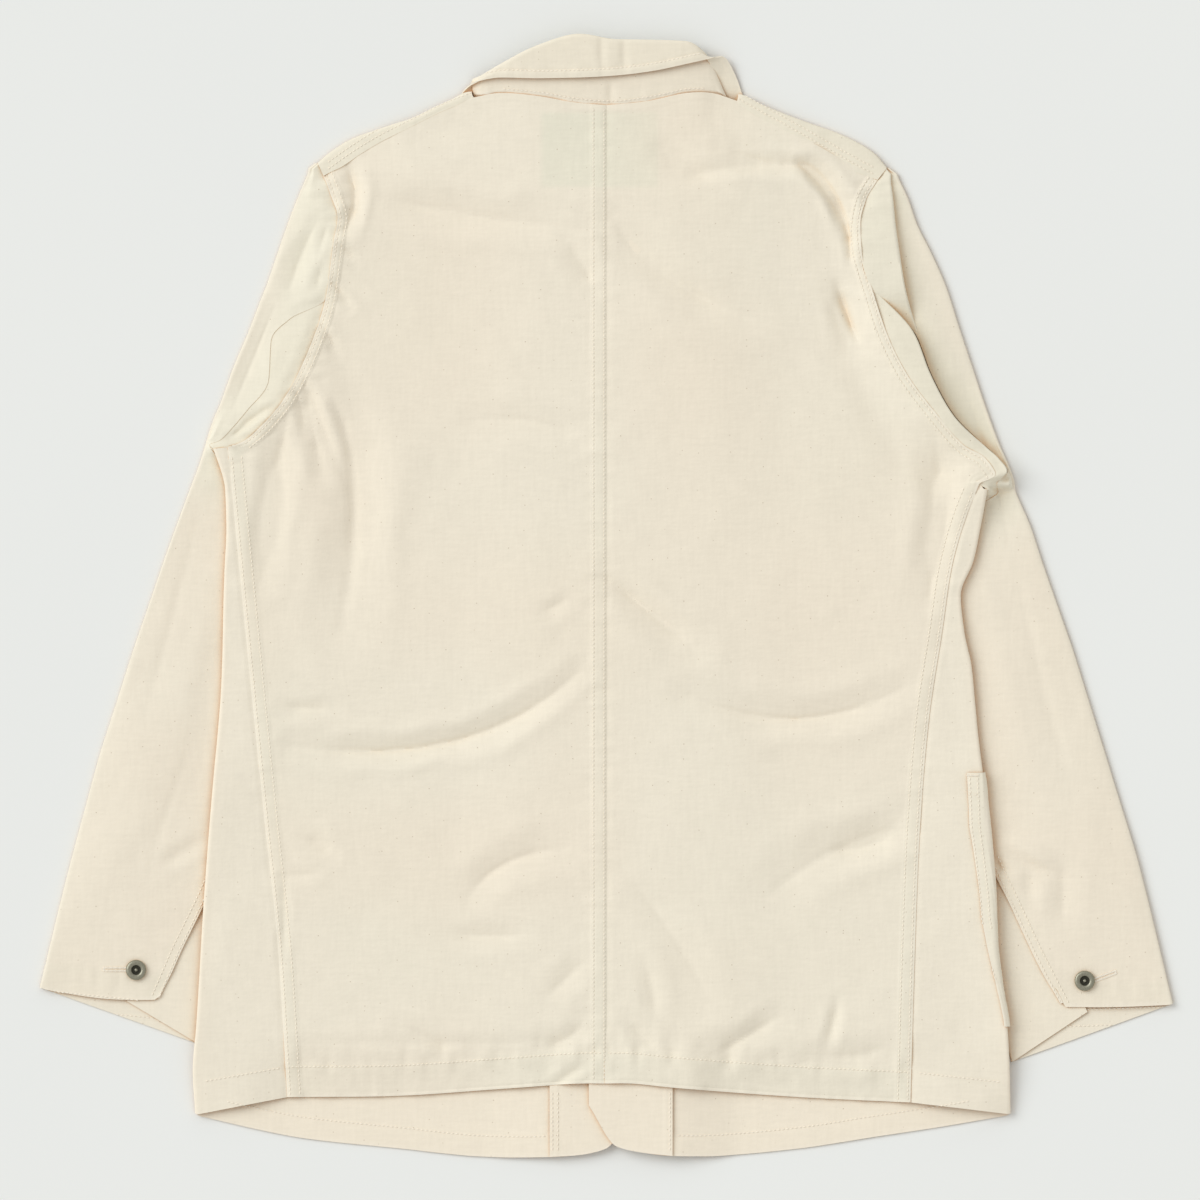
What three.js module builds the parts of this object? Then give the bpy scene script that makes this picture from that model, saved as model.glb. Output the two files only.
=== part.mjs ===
import * as THREE from 'three';

// Chore jacket of undyed cotton drill, buttoned and laid flat on its front, back uppermost.
// Millimetres. X runs to the right, Y towards the collar, Z up from the surface it lies on.

// Driving sizes
const CLOTH = 1.2;
const SEAM_GAP = 0.3;
const LAYER = CLOTH + 0.4;
const FLOOR_LAYER = CLOTH / 2;
const SIDE_FOLD_RISE = 4.4;
const SLEEVE_FOLD_RISE = 2.6;
const CUFF_RISE = 1.7;
const SLEEVE_PUFF = 2.4;
const BACK_LEVEL = 9.8;
const CENTRE_FRONT_X = 4;
const BUTTON_HEIGHT = 3;
const BUTTON_DIAMETER = 15;
const FACING_WIDTH = 62;
const LABEL_SIZE = { width: 86, length: 56, wall: 0.8 };
const SLEEVE_REACH = 42;
const ARMPIT_LIFT = 7;
const FRONT_BUTTONS = { count: 5, first: 262, last: -262 };

// Plan outlines: a smooth curve runs through each list of points [x, y].
// Side folds run from the hem to the armpit, seams and armholes likewise upwards.
const SIDES = {
  left: {
    fold: [[-303, -382], [-305, -354], [-302, -313], [-297, -229], [-291, -150], [-284, -69], [-282, 5],
      [-280, 68], [-283, 91], [-290, 110]],
    seam: [[-235, -370], [-242, -261], [-252, -165], [-261, -76], [-270, 16], [-276, 79], [-279, 111]],
    armhole: [[-290, 110], [-279, 111], [-268, 115], [-254, 127], [-238, 146], [-223, 174], [-211, 205],
      [-206.5, 222], [-201, 262], [-198, 281], [-203, 298], [-208.5, 312], [-212.5, 321]],
    shoulderFold: [[-212.5, 321], [-193, 336], [-168, 346], [-141, 355], [-123, 364], [-99, 374]],
    shoulderSeam: [[-208.5, 312], [-199, 319], [-186, 328], [-168, 337], [-141, 350], [-123, 359], [-98, 369.5]],
    backNeck: [[-98, 369.5], [-79, 373], [-51, 371], [-22, 366], [1, 364]],
    backHem: [[-235, -370], [-152, -369], [-78, -364], [-19, -360], [0, -360]],
    frontNeck: [[-98, 368], [-91, 346], [-67, 312], [-33, 294], [4, 289], [21, 290]],
    frontHem: [[-303, -383], [-270, -391], [-226, -400], [-152, -408], [-92, -414], [-33, -414], [-4, -410],
      [13, -400], [21, -380]],
    frontEdge: [[21, -380], [21, -100], [21, 100], [21, 290]],
  },
  right: {
    fold: [[300, -382], [299, -341], [297, -312], [290, -269], [288, -217], [283, -159], [276, -102],
      [270, -43], [262, -4], [270, 17], [277, 48], [283, 80]],
    seam: [[226, -374], [229, -269], [233, -172], [240, -87], [249, -28], [257, 24], [267, 59], [277, 84]],
    armhole: [[283, 80], [277, 84], [289, 91], [280, 104], [266, 112], [245, 136], [224, 164], [209, 194],
      [198, 227], [190, 255], [189, 276], [193, 294], [202, 309], [208.5, 317.5]],
    shoulderFold: [[208.5, 317.5], [198, 329], [177, 341], [147, 352], [124, 361], [99, 372]],
    shoulderSeam: [[202, 309], [180, 321], [159, 333], [136, 346], [114, 358], [98, 367]],
    backNeck: [[98, 367], [79, 373], [60, 373], [31, 367], [1, 364]],
    backHem: [[226, -374], [144, -370], [50, -363], [20, -360], [0, -360]],
    frontNeck: [[98, 366], [92, 346], [75, 312], [42, 294], [4, 289], [-12, 290]],
    frontHem: [[300, -383], [255, -391], [196, -400], [144, -408], [70, -414], [33, -412], [5, -405],
      [-7, -394], [-12, -376]],
    frontEdge: [[-12, -376], [-12, -100], [-12, 100], [-12, 290]],
  },
};

// Sleeve sections from the cuff up to the armpit: out is the outer fold, seam the back seam or slit
// edge of the top sleeve, under the edge of the under sleeve there, in the fold beneath the body.
const SLEEVES = {
  left: {
    closed: [
      { out: [-418, -289], seam: [-329, -298], under: [-354, -299], in: [-300, -331] },
      { out: [-410, -256], seam: [-314, -263], under: [-337, -263], in: [-288, -287] },
      { out: [-402, -223], seam: [-295, -224], under: [-316, -226], in: [-270, -243] },
      { out: [-393, -188], seam: [-280, -191], under: [-280, -191], in: [-254, -201] },
      { out: [-374, -118], seam: [-270, -121], under: [-270, -121], in: [-226, -124] },
      { out: [-350, -43], seam: [-268, -43], under: [-268, -43], in: [-212, -47] },
      { out: [-325, 30], seam: [-268, 30], under: [-268, 30], in: [-212, 23] },
      { out: [-309, 74], seam: [-272, 72], under: [-272, 72], in: [-238, 68] },
      { out: [-300, 98], seam: [-281, 95], under: [-281, 95], in: [-263, 92] },
    ],
    open: {
      out: [[-295, 114], [-293, 121], [-290, 130], [-284, 144], [-275, 169], [-264, 195], [-254, 221],
        [-250, 231], [-236, 272], [-230, 288], [-224, 303], [-219.5, 314], [-218.5, 321]],
      seam: [[-292.5, 112], [-285, 116], [-276, 125], [-265, 138], [-249, 160], [-247, 190], [-233, 206],
        [-208.5, 221.5]],
    },
  },
  right: {
    closed: [
      { out: [420, -301], seam: [337, -304], under: [357, -307], in: [301, -344] },
      { out: [411, -263], seam: [317, -265], under: [338, -265], in: [287, -291] },
      { out: [402, -226], seam: [299, -226], under: [319, -226], in: [269, -243] },
      { out: [393, -191], seam: [284, -194], under: [284, -194], in: [252, -202] },
      { out: [369, -113], seam: [267, -115], under: [267, -115], in: [215, -121] },
      { out: [346, -39], seam: [252, -41], under: [252, -41], in: [198, -47] },
      { out: [324, 24], seam: [249, 23], under: [249, 23], in: [195, 16] },
      { out: [314, 54], seam: [262, 51], under: [262, 51], in: [222, 46] },
      { out: [307, 70], seam: [276, 67], under: [276, 67], in: [252, 64] },
    ],
    open: {
      out: [[303.5, 79], [303, 84], [301, 91], [296, 103], [292, 112], [281, 142], [272, 169], [262, 199],
        [252, 230], [240, 257], [231, 275], [224, 295], [217.5, 309], [214.5, 317.5]],
      seam: [[291, 78], [290, 84], [297, 93], [291, 102], [281, 111], [258, 133], [240, 165], [228, 195],
        [200.5, 227]],
      // The upper layer makes a sharp fold along this line, above the rest of the sleeve.
      fold: [[291, 78], [290, 84], [297, 93], [291, 102], [281, 111], [258, 133], [240, 165], [228, 195],
        [221, 229], [217, 254], [214, 275], [212, 295], [210.5, 309], [211.5, 317.5]],
    },
  },
};

// Creases of the back as soft troughs, and ridges where deep is below nought. Each runs from, by way
// of a bend, to its end; half is half its width and deep its depth.
const CREASES = [
  { from: [-193, 322], via: [-177, 297], to: [-192, 272], half: 9, deep: 3.2 },
  { from: [-164, 296], via: [-114, 283], to: [-19, 272], half: 14, deep: 2 },
  { from: [5, 281], via: [37, 231], to: [103, 208], half: 15, deep: 2.4 },
  { from: [132, 321], via: [170, 326], to: [181, 263], half: 9, deep: 3.4 },
  { from: [-235, 133], via: [-244, 94], to: [-253, 13], half: 9, deep: 2.6 },
  { from: [-223, 157], via: [-218, 127], to: [-209, 92], half: 8, deep: 2.4 },
  { from: [-211, 158], via: [-170, 109], to: [-195, -24], half: 20, deep: 3.2 },
  { from: [245, 118], via: [252, 72], to: [240, 1], half: 12, deep: 2.4 },
  { from: [-232, -111], via: [-211, -100], to: [-152, -108], half: 9, deep: 1.8 },
  { from: [-152, -115], via: [-70, -112], to: [-21, -53], half: 12, deep: 3 },
  { from: [3, 12], via: [37, -13], to: [65, -37], half: 11, deep: 2.6 },
  { from: [61, -79], via: [100, -76], to: [144, -95], half: 13, deep: 2 },
  { from: [169, -95], via: [192, -86], to: [216, -70], half: 12, deep: 2.2 },
  { from: [-99, -220], via: [-80, -190], to: [-29, -186], half: 13, deep: 2 },
  { from: [163, -188], via: [195, -189], to: [214, -173], half: 12, deep: 2 },
  { from: [81, -339], via: [103, -326], to: [128, -311], half: 12, deep: 2 },
  { from: [-223, 190], via: [-200, 160], to: [-196, 60], half: 16, deep: -2 },
  { from: [196, 250], via: [214, 170], to: [286, 92], half: 20, deep: -4.5 },
];

// Patch pockets on the fronts, on the rows from foot to mouth. The right one's back edge shows: into
// says how far it lies in from the side fold at each level y.
const POCKET = { footLevel: -318, mouthLevel: -130, footRow: 2, mouthRow: 8 };
const POCKET_COLUMNS = { left: [2, 9], right: [0, 7] };
const POCKET_BACK_EDGE = [
  { y: -318, into: 2.4 }, { y: -297, into: 4 }, { y: -238, into: 13 }, { y: -170, into: 16 }, { y: -130, into: 13 },
];

// Collar stations, from the left front end round the back to the right front end: seam is where the
// stand is sewn on, roll where the leaf turns over it, edge the leaf's free edge. The stand lies at
// the height low and the leaf at high, which is the lower of the two in front.
const COLLAR = [
  { seam: [2, 293], roll: [2, 305], edge: [-24, 256], low: 4.2, high: 0.6 },
  { seam: [-32, 298], roll: [-30, 314], edge: [-64, 266], low: 2.9, high: 0.6 },
  { seam: [-62, 316], roll: [-55, 331], edge: [-98, 298], low: 2.9, high: 0.6 },
  { seam: [-85, 346], roll: [-75, 354], edge: [-114, 338], low: 2.9, high: 0.6 },
  { seam: [-92, 362], roll: [-86, 369], edge: [-110, 362], low: 3, high: 0.6 },
  { seam: [-94.5, 372.5], roll: [-94, 383], edge: [-103, 381], low: 4.8, high: 0.8 },
  { seam: [-90, 371.6], roll: [-91, 386], edge: [-94, 381.5], low: 6.9, high: 10 },
  { seam: [-76, 373.7], roll: [-74, 396], edge: [-76, 384.5], low: 8, high: 12 },
  { seam: [-50, 371.6], roll: [-50, 408], edge: [-50, 384], low: 9.5, high: 13.7 },
  { seam: [-20, 366.6], roll: [-19, 416.5], edge: [-20, 384.5], low: 9.8, high: 14 },
  { seam: [8, 364.9], roll: [8, 412.5], edge: [8, 386], low: 9.8, high: 14 },
  { seam: [36, 368.6], roll: [36, 412], edge: [36, 389.5], low: 9.8, high: 14 },
  { seam: [60, 373.7], roll: [60, 411], edge: [62, 395], low: 9.2, high: 13.4 },
  { seam: [74, 374.2], roll: [71, 405], edge: [76, 398], low: 8.1, high: 11.8 },
  { seam: [84, 373.2], roll: [78, 396], edge: [87, 400], low: 6.6, high: 6.4 },
  { seam: [89, 367], roll: [82, 383], edge: [95, 385], low: 4, high: 1.6 },
  { seam: [91, 358], roll: [83, 364], edge: [101, 367], low: 2.9, high: 0.6 },
  { seam: [86, 345], roll: [76, 353], edge: [112, 338], low: 2.9, high: 0.6 },
  { seam: [71, 316], roll: [61, 331], edge: [104, 296], low: 2.9, high: 0.6 },
  { seam: [41, 298], roll: [38, 314], edge: [70, 264], low: 3.4, high: 0.6 },
  { seam: [7, 293], roll: [7, 305], edge: [34, 256], low: 7, high: 0.6 },
];

// Numbers of cells across each kind of piece
const CELLS = {
  hemToFoot: 2, footToMouth: 6, mouthToArmpit: 8, shoulder: 8, neck: 5, facing: 3, strip: 2, arc: 3,
  sleeve: 4, foldBand: 4, under: 2,
};
const ROWS_BELOW_ARMPIT = CELLS.hemToFoot + CELLS.footToMouth + CELLS.mouthToArmpit;

const FINISHES = {
  drill: new THREE.MeshStandardMaterial({ color: 0xe9e2cd, roughness: 0.92, metalness: 0 }),
  innerDrill: new THREE.MeshStandardMaterial({ color: 0xe7dcc6, roughness: 0.94, metalness: 0 }),
  label: new THREE.MeshStandardMaterial({ color: 0xd9ddcb, roughness: 0.9, metalness: 0 }),
  button: new THREE.MeshStandardMaterial({ color: 0x77745f, roughness: 0.45, metalness: 0.85 }),
};

const jacket = new THREE.Group();

function lerp(a, b, t) {
  return a + (b - a) * t;
}

function mix(p, q, t) {
  return p.map((value, axis) => lerp(value, q[axis], t));
}

// Soft step from 0 at a to 1 at b.
function ease(a, b, x) {
  const t = Math.min(1, Math.max(0, (x - a) / (b - a)));
  return t * t * (3 - 2 * t);
}

// A smooth curve through plan points, read by its share of length.
function curveThrough(points) {
  const vectors = points.map(([x, y]) => new THREE.Vector3(x, y, 0));
  const curve = new THREE.CatmullRomCurve3(vectors, false, 'centripetal');
  return (share) => {
    const point = curve.getPointAt(Math.min(1, Math.max(0, share)));
    return [point.x, point.y];
  };
}

// Straight stretches between listed points, each an equal share.
function stationsOf(points) {
  return (share) => {
    const place = Math.min(points.length - 1, Math.max(0, share * (points.length - 1)));
    const low = Math.min(points.length - 2, Math.floor(place));
    return mix(points[low], points[low + 1], place - low);
  };
}

function sampled(curve, count = 40) {
  return Array.from({ length: count + 1 }, (_, k) => curve(k / count));
}

// The point of a sampled line where one of its axes reads the value given.
function crossing(line, axis, value) {
  for (let k = 0; k + 1 < line.length; k += 1) {
    const [a, b] = [line[k][axis], line[k + 1][axis]];
    if ((a - value) * (b - value) <= 0 && a !== b) {
      return mix(line[k], line[k + 1], (value - a) / (b - a));
    }
  }
  return Math.abs(line[0][axis] - value) < Math.abs(line.at(-1)[axis] - value) ? line[0] : line.at(-1);
}

function distanceToLine(line, x, y) {
  let nearest = Infinity;
  for (let k = 0; k + 1 < line.length; k += 1) {
    const [ax, ay] = line[k];
    const [bx, by] = line[k + 1];
    const length = (bx - ax) ** 2 + (by - ay) ** 2 || 1;
    const t = Math.min(1, Math.max(0, ((x - ax) * (bx - ax) + (y - ay) * (by - ay)) / length));
    nearest = Math.min(nearest, Math.hypot(x - lerp(ax, bx, t), y - lerp(ay, by, t)));
  }
  return nearest;
}

function isInside(ring, x, y) {
  let inside = false;
  for (let k = 0, last = ring.length - 1; k < ring.length; last = k, k += 1) {
    const [ax, ay] = ring[k];
    const [bx, by] = ring[last];
    if (ay > y !== by > y && x < ((bx - ax) * (y - ay)) / (by - ay) + ax) {
      inside = !inside;
    }
  }
  return inside;
}

function distanceOutside(ring, x, y) {
  return isInside(ring, x, y) ? 0 : distanceToLine([...ring, ring[0]], x, y);
}

// Plan curves and regions that the heights and the pieces are read from
const plan = {};
for (const [side, outline] of Object.entries(SIDES)) {
  const sleeve = SLEEVES[side];
  const curves = Object.fromEntries(Object.entries(outline).map(([key, points]) => [key, curveThrough(points)]));
  plan[side] = {
    ...curves,
    armhole: stationsOf(outline.armhole),
    foldLine: sampled(curves.fold),
    seamLine: sampled(curves.seam),
    shoulderLine: sampled(curves.shoulderFold),
    neckLine: sampled(curves.frontNeck),
    hemLine: sampled(curves.frontHem, 80),
    backHemLine: sampled(curves.backHem),
    armholeLine: outline.armhole,
    sleeveRing: [
      ...sleeve.closed.map((row) => row.out),
      sleeve.open.out[1],
      outline.armhole[0],
      ...sleeve.closed.map((row) => row.in).reverse(),
    ],
    sleeveOuterLine: [...sleeve.closed.map((row) => row.out), ...sleeve.open.out],
  };
}
const bodyRing = [
  ...plan.left.foldLine, ...SIDES.left.armhole.slice(1), ...plan.left.shoulderLine,
  ...[...plan.right.shoulderLine].reverse(), ...SIDES.right.armhole.slice(1).reverse(),
  ...[...plan.right.foldLine].reverse(),
];

// Levels (y) of the rows between hem and armpit: pocket foot and mouth fall on rows.
function levelOf(side, row) {
  const { footToMouth, hemToFoot, mouthToArmpit } = CELLS;
  const armpit = SIDES[side].armhole[0][1];
  const hem = SIDES[side].fold[0][1];
  if (row <= hemToFoot) {
    return lerp(hem, POCKET.footLevel, row / hemToFoot);
  }
  if (row <= hemToFoot + footToMouth) {
    return lerp(POCKET.footLevel, POCKET.mouthLevel, (row - hemToFoot) / footToMouth);
  }
  return lerp(POCKET.mouthLevel, armpit, (row - hemToFoot - footToMouth) / mouthToArmpit);
}

function rowLevel(side, row) {
  const low = Math.floor(row);
  return lerp(levelOf(side, low), levelOf(side, Math.min(low + 1, ROWS_BELOW_ARMPIT)), row - low);
}

// How close a place is to a crease: 1 on its line, fading with its half width.
function creaseShare({ from, via, to, half }, x, y) {
  const line = sampled((t) => mix(mix(from, via, t), mix(via, to, t), t), 8);
  return Math.exp(-((distanceToLine(line, x, y) / half) ** 2));
}

function armpitLift(x, y) {
  const [ax, ay] = SIDES.right.armhole[2];
  return ARMPIT_LIFT * Math.exp(-(((x - ax) ** 2 + (y - ay) ** 2) / 26 ** 2));
}

// How far the pocket beneath a front lifts it.
function pocketLift(side, x, y) {
  const { footLevel, mouthLevel } = POCKET;
  const reach = side === 'left' ? [-290, -85] : [85, 310];
  const along = ease(footLevel - 24, footLevel - 4, y) * (1 - ease(mouthLevel + 4, mouthLevel + 24, y));
  const across = ease(reach[0] - 12, reach[0], x) * (1 - ease(reach[1], reach[1] + 12, x));
  return (CLOTH + SEAM_GAP + 0.2) * along * across;
}

// Middle of a front's lower layer, which lies over the sleeve, pocket, collar leaf and buttons.
function frontHeight(side, x, y) {
  const reach = distanceOutside(plan[side].sleeveRing, x, y);
  const overSleeve = (2 * CUFF_RISE + LAYER) * (1 - ease(4, SLEEVE_REACH, reach));
  const overLeaf = LAYER * (1 - ease(54, 78, distanceToLine(plan[side].neckLine, x, y)));
  const strip = BUTTON_HEIGHT + SEAM_GAP + (side === 'left' ? 0 : 2 * LAYER);
  const fromCentre = side === 'left' ? Math.abs(x - CENTRE_FRONT_X) : x - CENTRE_FRONT_X;
  const overButtons = strip * (1 - ease(56, 86, fromCentre));
  const lift = Math.max(overLeaf, overButtons, overSleeve + pocketLift(side, x, y));
  return FLOOR_LAYER + lift + (side === 'right' ? armpitLift(x, y) : 0);
}

// Middle of the upper layer: the back, and the strips of the fronts that wrap round to it.
function backHeight(x, y) {
  const side = x < 0 ? 'left' : 'right';
  const { foldLine, shoulderLine, backHemLine } = plan[side];
  const [fromFold, fromShoulder, fromHem] = [foldLine, shoulderLine, backHemLine].map((line) => (
    distanceToLine(line, x, y)
  ));
  const overButtons = 50 * (1 - ease(80, 130, Math.abs(x - CENTRE_FRONT_X)));
  const fromEdge = Math.min(fromFold, fromShoulder, fromHem + overButtons);
  const below = frontHeight(side, x, y);
  const overCentre = 2.6 * (1 - ease(60, 130, Math.abs(x - CENTRE_FRONT_X - 12))) * (1 - ease(290, 350, y));
  const level = BACK_LEVEL + overCentre + (side === 'right' ? armpitLift(x, y) : 0);
  const depth = CREASES.reduce((total, crease) => total + crease.deep * creaseShare(crease, x, y), 0);
  const height = lerp(below + SIDE_FOLD_RISE, level, ease(0, 50, fromEdge)) - depth * ease(2, 22, fromEdge);
  return Math.max(height, below + SIDE_FOLD_RISE * 0.8);
}

// Closed body of cloth: a grid of middle points, moved out by half the wall on each side, with rims
// along every edge that no neighbouring cell shares.
function clothGeometry(columns, rows, place, hasCell = () => true, wall = CLOTH) {
  const index = new Map();
  const middles = [];
  const normals = [];
  const cells = [];
  const vertexAt = (i, j) => {
    const key = `${i},${j}`;
    if (!index.has(key)) {
      index.set(key, middles.length);
      middles.push(new THREE.Vector3(...place(i, j)));
      normals.push(new THREE.Vector3());
    }
    return index.get(key);
  };
  for (let j = 0; j < rows; j += 1) {
    for (let i = 0; i < columns; i += 1) {
      if (hasCell(i, j)) {
        cells.push([vertexAt(i, j), vertexAt(i + 1, j), vertexAt(i + 1, j + 1), vertexAt(i, j + 1)]);
      }
    }
  }
  for (const cell of cells) {
    const [a, b, c, d] = cell.map((vertex) => middles[vertex]);
    const normal = new THREE.Vector3().subVectors(c, a).cross(new THREE.Vector3().subVectors(d, b)).normalize();
    cell.forEach((vertex) => normals[vertex].add(normal));
  }
  const positions = [];
  for (const offset of [wall / 2, -wall / 2]) {
    middles.forEach((middle, vertex) => {
      const moved = normals[vertex].clone().normalize().multiplyScalar(offset).add(middle);
      positions.push(moved.x, moved.y, Math.max(moved.z, 0));
    });
  }
  const lower = middles.length;
  const faces = [];
  const edges = new Set();
  for (const [a, b, c, d] of cells) {
    faces.push(a, b, c, a, c, d);
    faces.push(a + lower, c + lower, b + lower, a + lower, d + lower, c + lower);
    [[a, b], [b, c], [c, d], [d, a]].forEach(([p, q]) => edges.add(`${p},${q}`));
  }
  for (const edge of edges) {
    const [p, q] = edge.split(',').map(Number);
    if (!edges.has(`${q},${p}`)) {
      faces.push(q, p, p + lower, q, p + lower, q + lower);
    }
  }
  const geometry = new THREE.BufferGeometry();
  geometry.setAttribute('position', new THREE.Float32BufferAttribute(positions, 3));
  geometry.setIndex(faces);
  return geometry;
}

function addPiece(name, geometry, finish) {
  const mesh = new THREE.Mesh(geometry, finish);
  mesh.name = name;
  jacket.add(mesh);
  return mesh;
}

function unit(from, to) {
  const length = Math.hypot(to[0] - from[0], to[1] - from[1]);
  return [(to[0] - from[0]) / length, (to[1] - from[1]) / length];
}

// Moves a point by an amount towards another.
function shifted(point, towards, amount) {
  const [dx, dy] = unit(point, towards);
  return [point[0] + dx * amount, point[1] + dy * amount];
}

// A panel in plan: straight rows from left to right, with the shape of the bottom edge fading out up
// to the row foot and that of the top edge fading in from the row head.
function panel({ left, right, bottom, top, foot, head, rows }) {
  return (u, row) => [0, 1].map((axis) => {
    const across = lerp(left(row)[axis], right(row)[axis], u);
    const sag = bottom(u)[axis] - lerp(left(0)[axis], right(0)[axis], u);
    const rise = top(u)[axis] - lerp(left(rows)[axis], right(rows)[axis], u);
    return across + sag * Math.max(0, 1 - row / foot) + rise * Math.max(0, (row - head) / (rows - head));
  });
}

// Two curves joined end to end, the first taking the share given.
function joined(first, second, share) {
  return (t) => (t <= share ? first(t / share) : second((t - share) / (1 - share)));
}

const SEAM_SHARE = SEAM_GAP / 2 + 0.1;
const armholeCells = (side) => SIDES[side].armhole.length - 1;

// Half a back: side seam and armhole on the outside, centre seam on the inside.
function backPiece(side) {
  const outline = plan[side];
  const rows = ROWS_BELOW_ARMPIT + armholeCells(side) - 2;
  const columns = CELLS.shoulder + CELLS.neck;
  const armhole = SIDES[side].armhole;
  const left = (row) => {
    if (row >= ROWS_BELOW_ARMPIT) {
      return armhole[1 + Math.round(row - ROWS_BELOW_ARMPIT)];
    }
    return row === 0 ? outline.seamLine[0] : crossing(outline.seamLine, 1, rowLevel(side, row));
  };
  const right = (row) => {
    const armpit = armhole[0][1];
    return [0, row <= ROWS_BELOW_ARMPIT
      ? (row === 0 ? -360 : rowLevel(side, row))
      : lerp(armpit, 364, (row - ROWS_BELOW_ARMPIT) / (rows - ROWS_BELOW_ARMPIT))];
  };
  const top = joined(outline.shoulderSeam, outline.backNeck, CELLS.shoulder / columns);
  const flat = panel({ left, right, bottom: outline.backHem, top, foot: 3, head: ROWS_BELOW_ARMPIT, rows });
  const place = (column, j) => {
    const i = side === 'left' ? column : columns - column;
    let [x, y] = flat(i / columns, j);
    if (i === 0) {
      [x, y] = shifted([x, y], flat(1 / columns, j), SEAM_SHARE);
    }
    if (i === columns) {
      x += side === 'left' ? -SEAM_SHARE : SEAM_SHARE;
    }
    if (j === rows) {
      [x, y] = shifted([x, y], flat(i / columns, j - 1), SEAM_SHARE);
    }
    return [x, y, backHeight(x, y)];
  };
  addPiece(`back_${side}`, clothGeometry(columns, rows, place), FINISHES.drill);
}

// A point on the round of a fold: turn 0 is the upper layer, 1 the lower.
function foldPoint(edge, inwards, top, bottom, turn) {
  const radius = (top - bottom) / 2;
  const back = radius * (1 - Math.sin(Math.PI * turn));
  const middle = (top + bottom) / 2;
  return [edge[0] + inwards[0] * back, edge[1] + inwards[1] * back, middle + radius * Math.cos(Math.PI * turn)];
}

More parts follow.
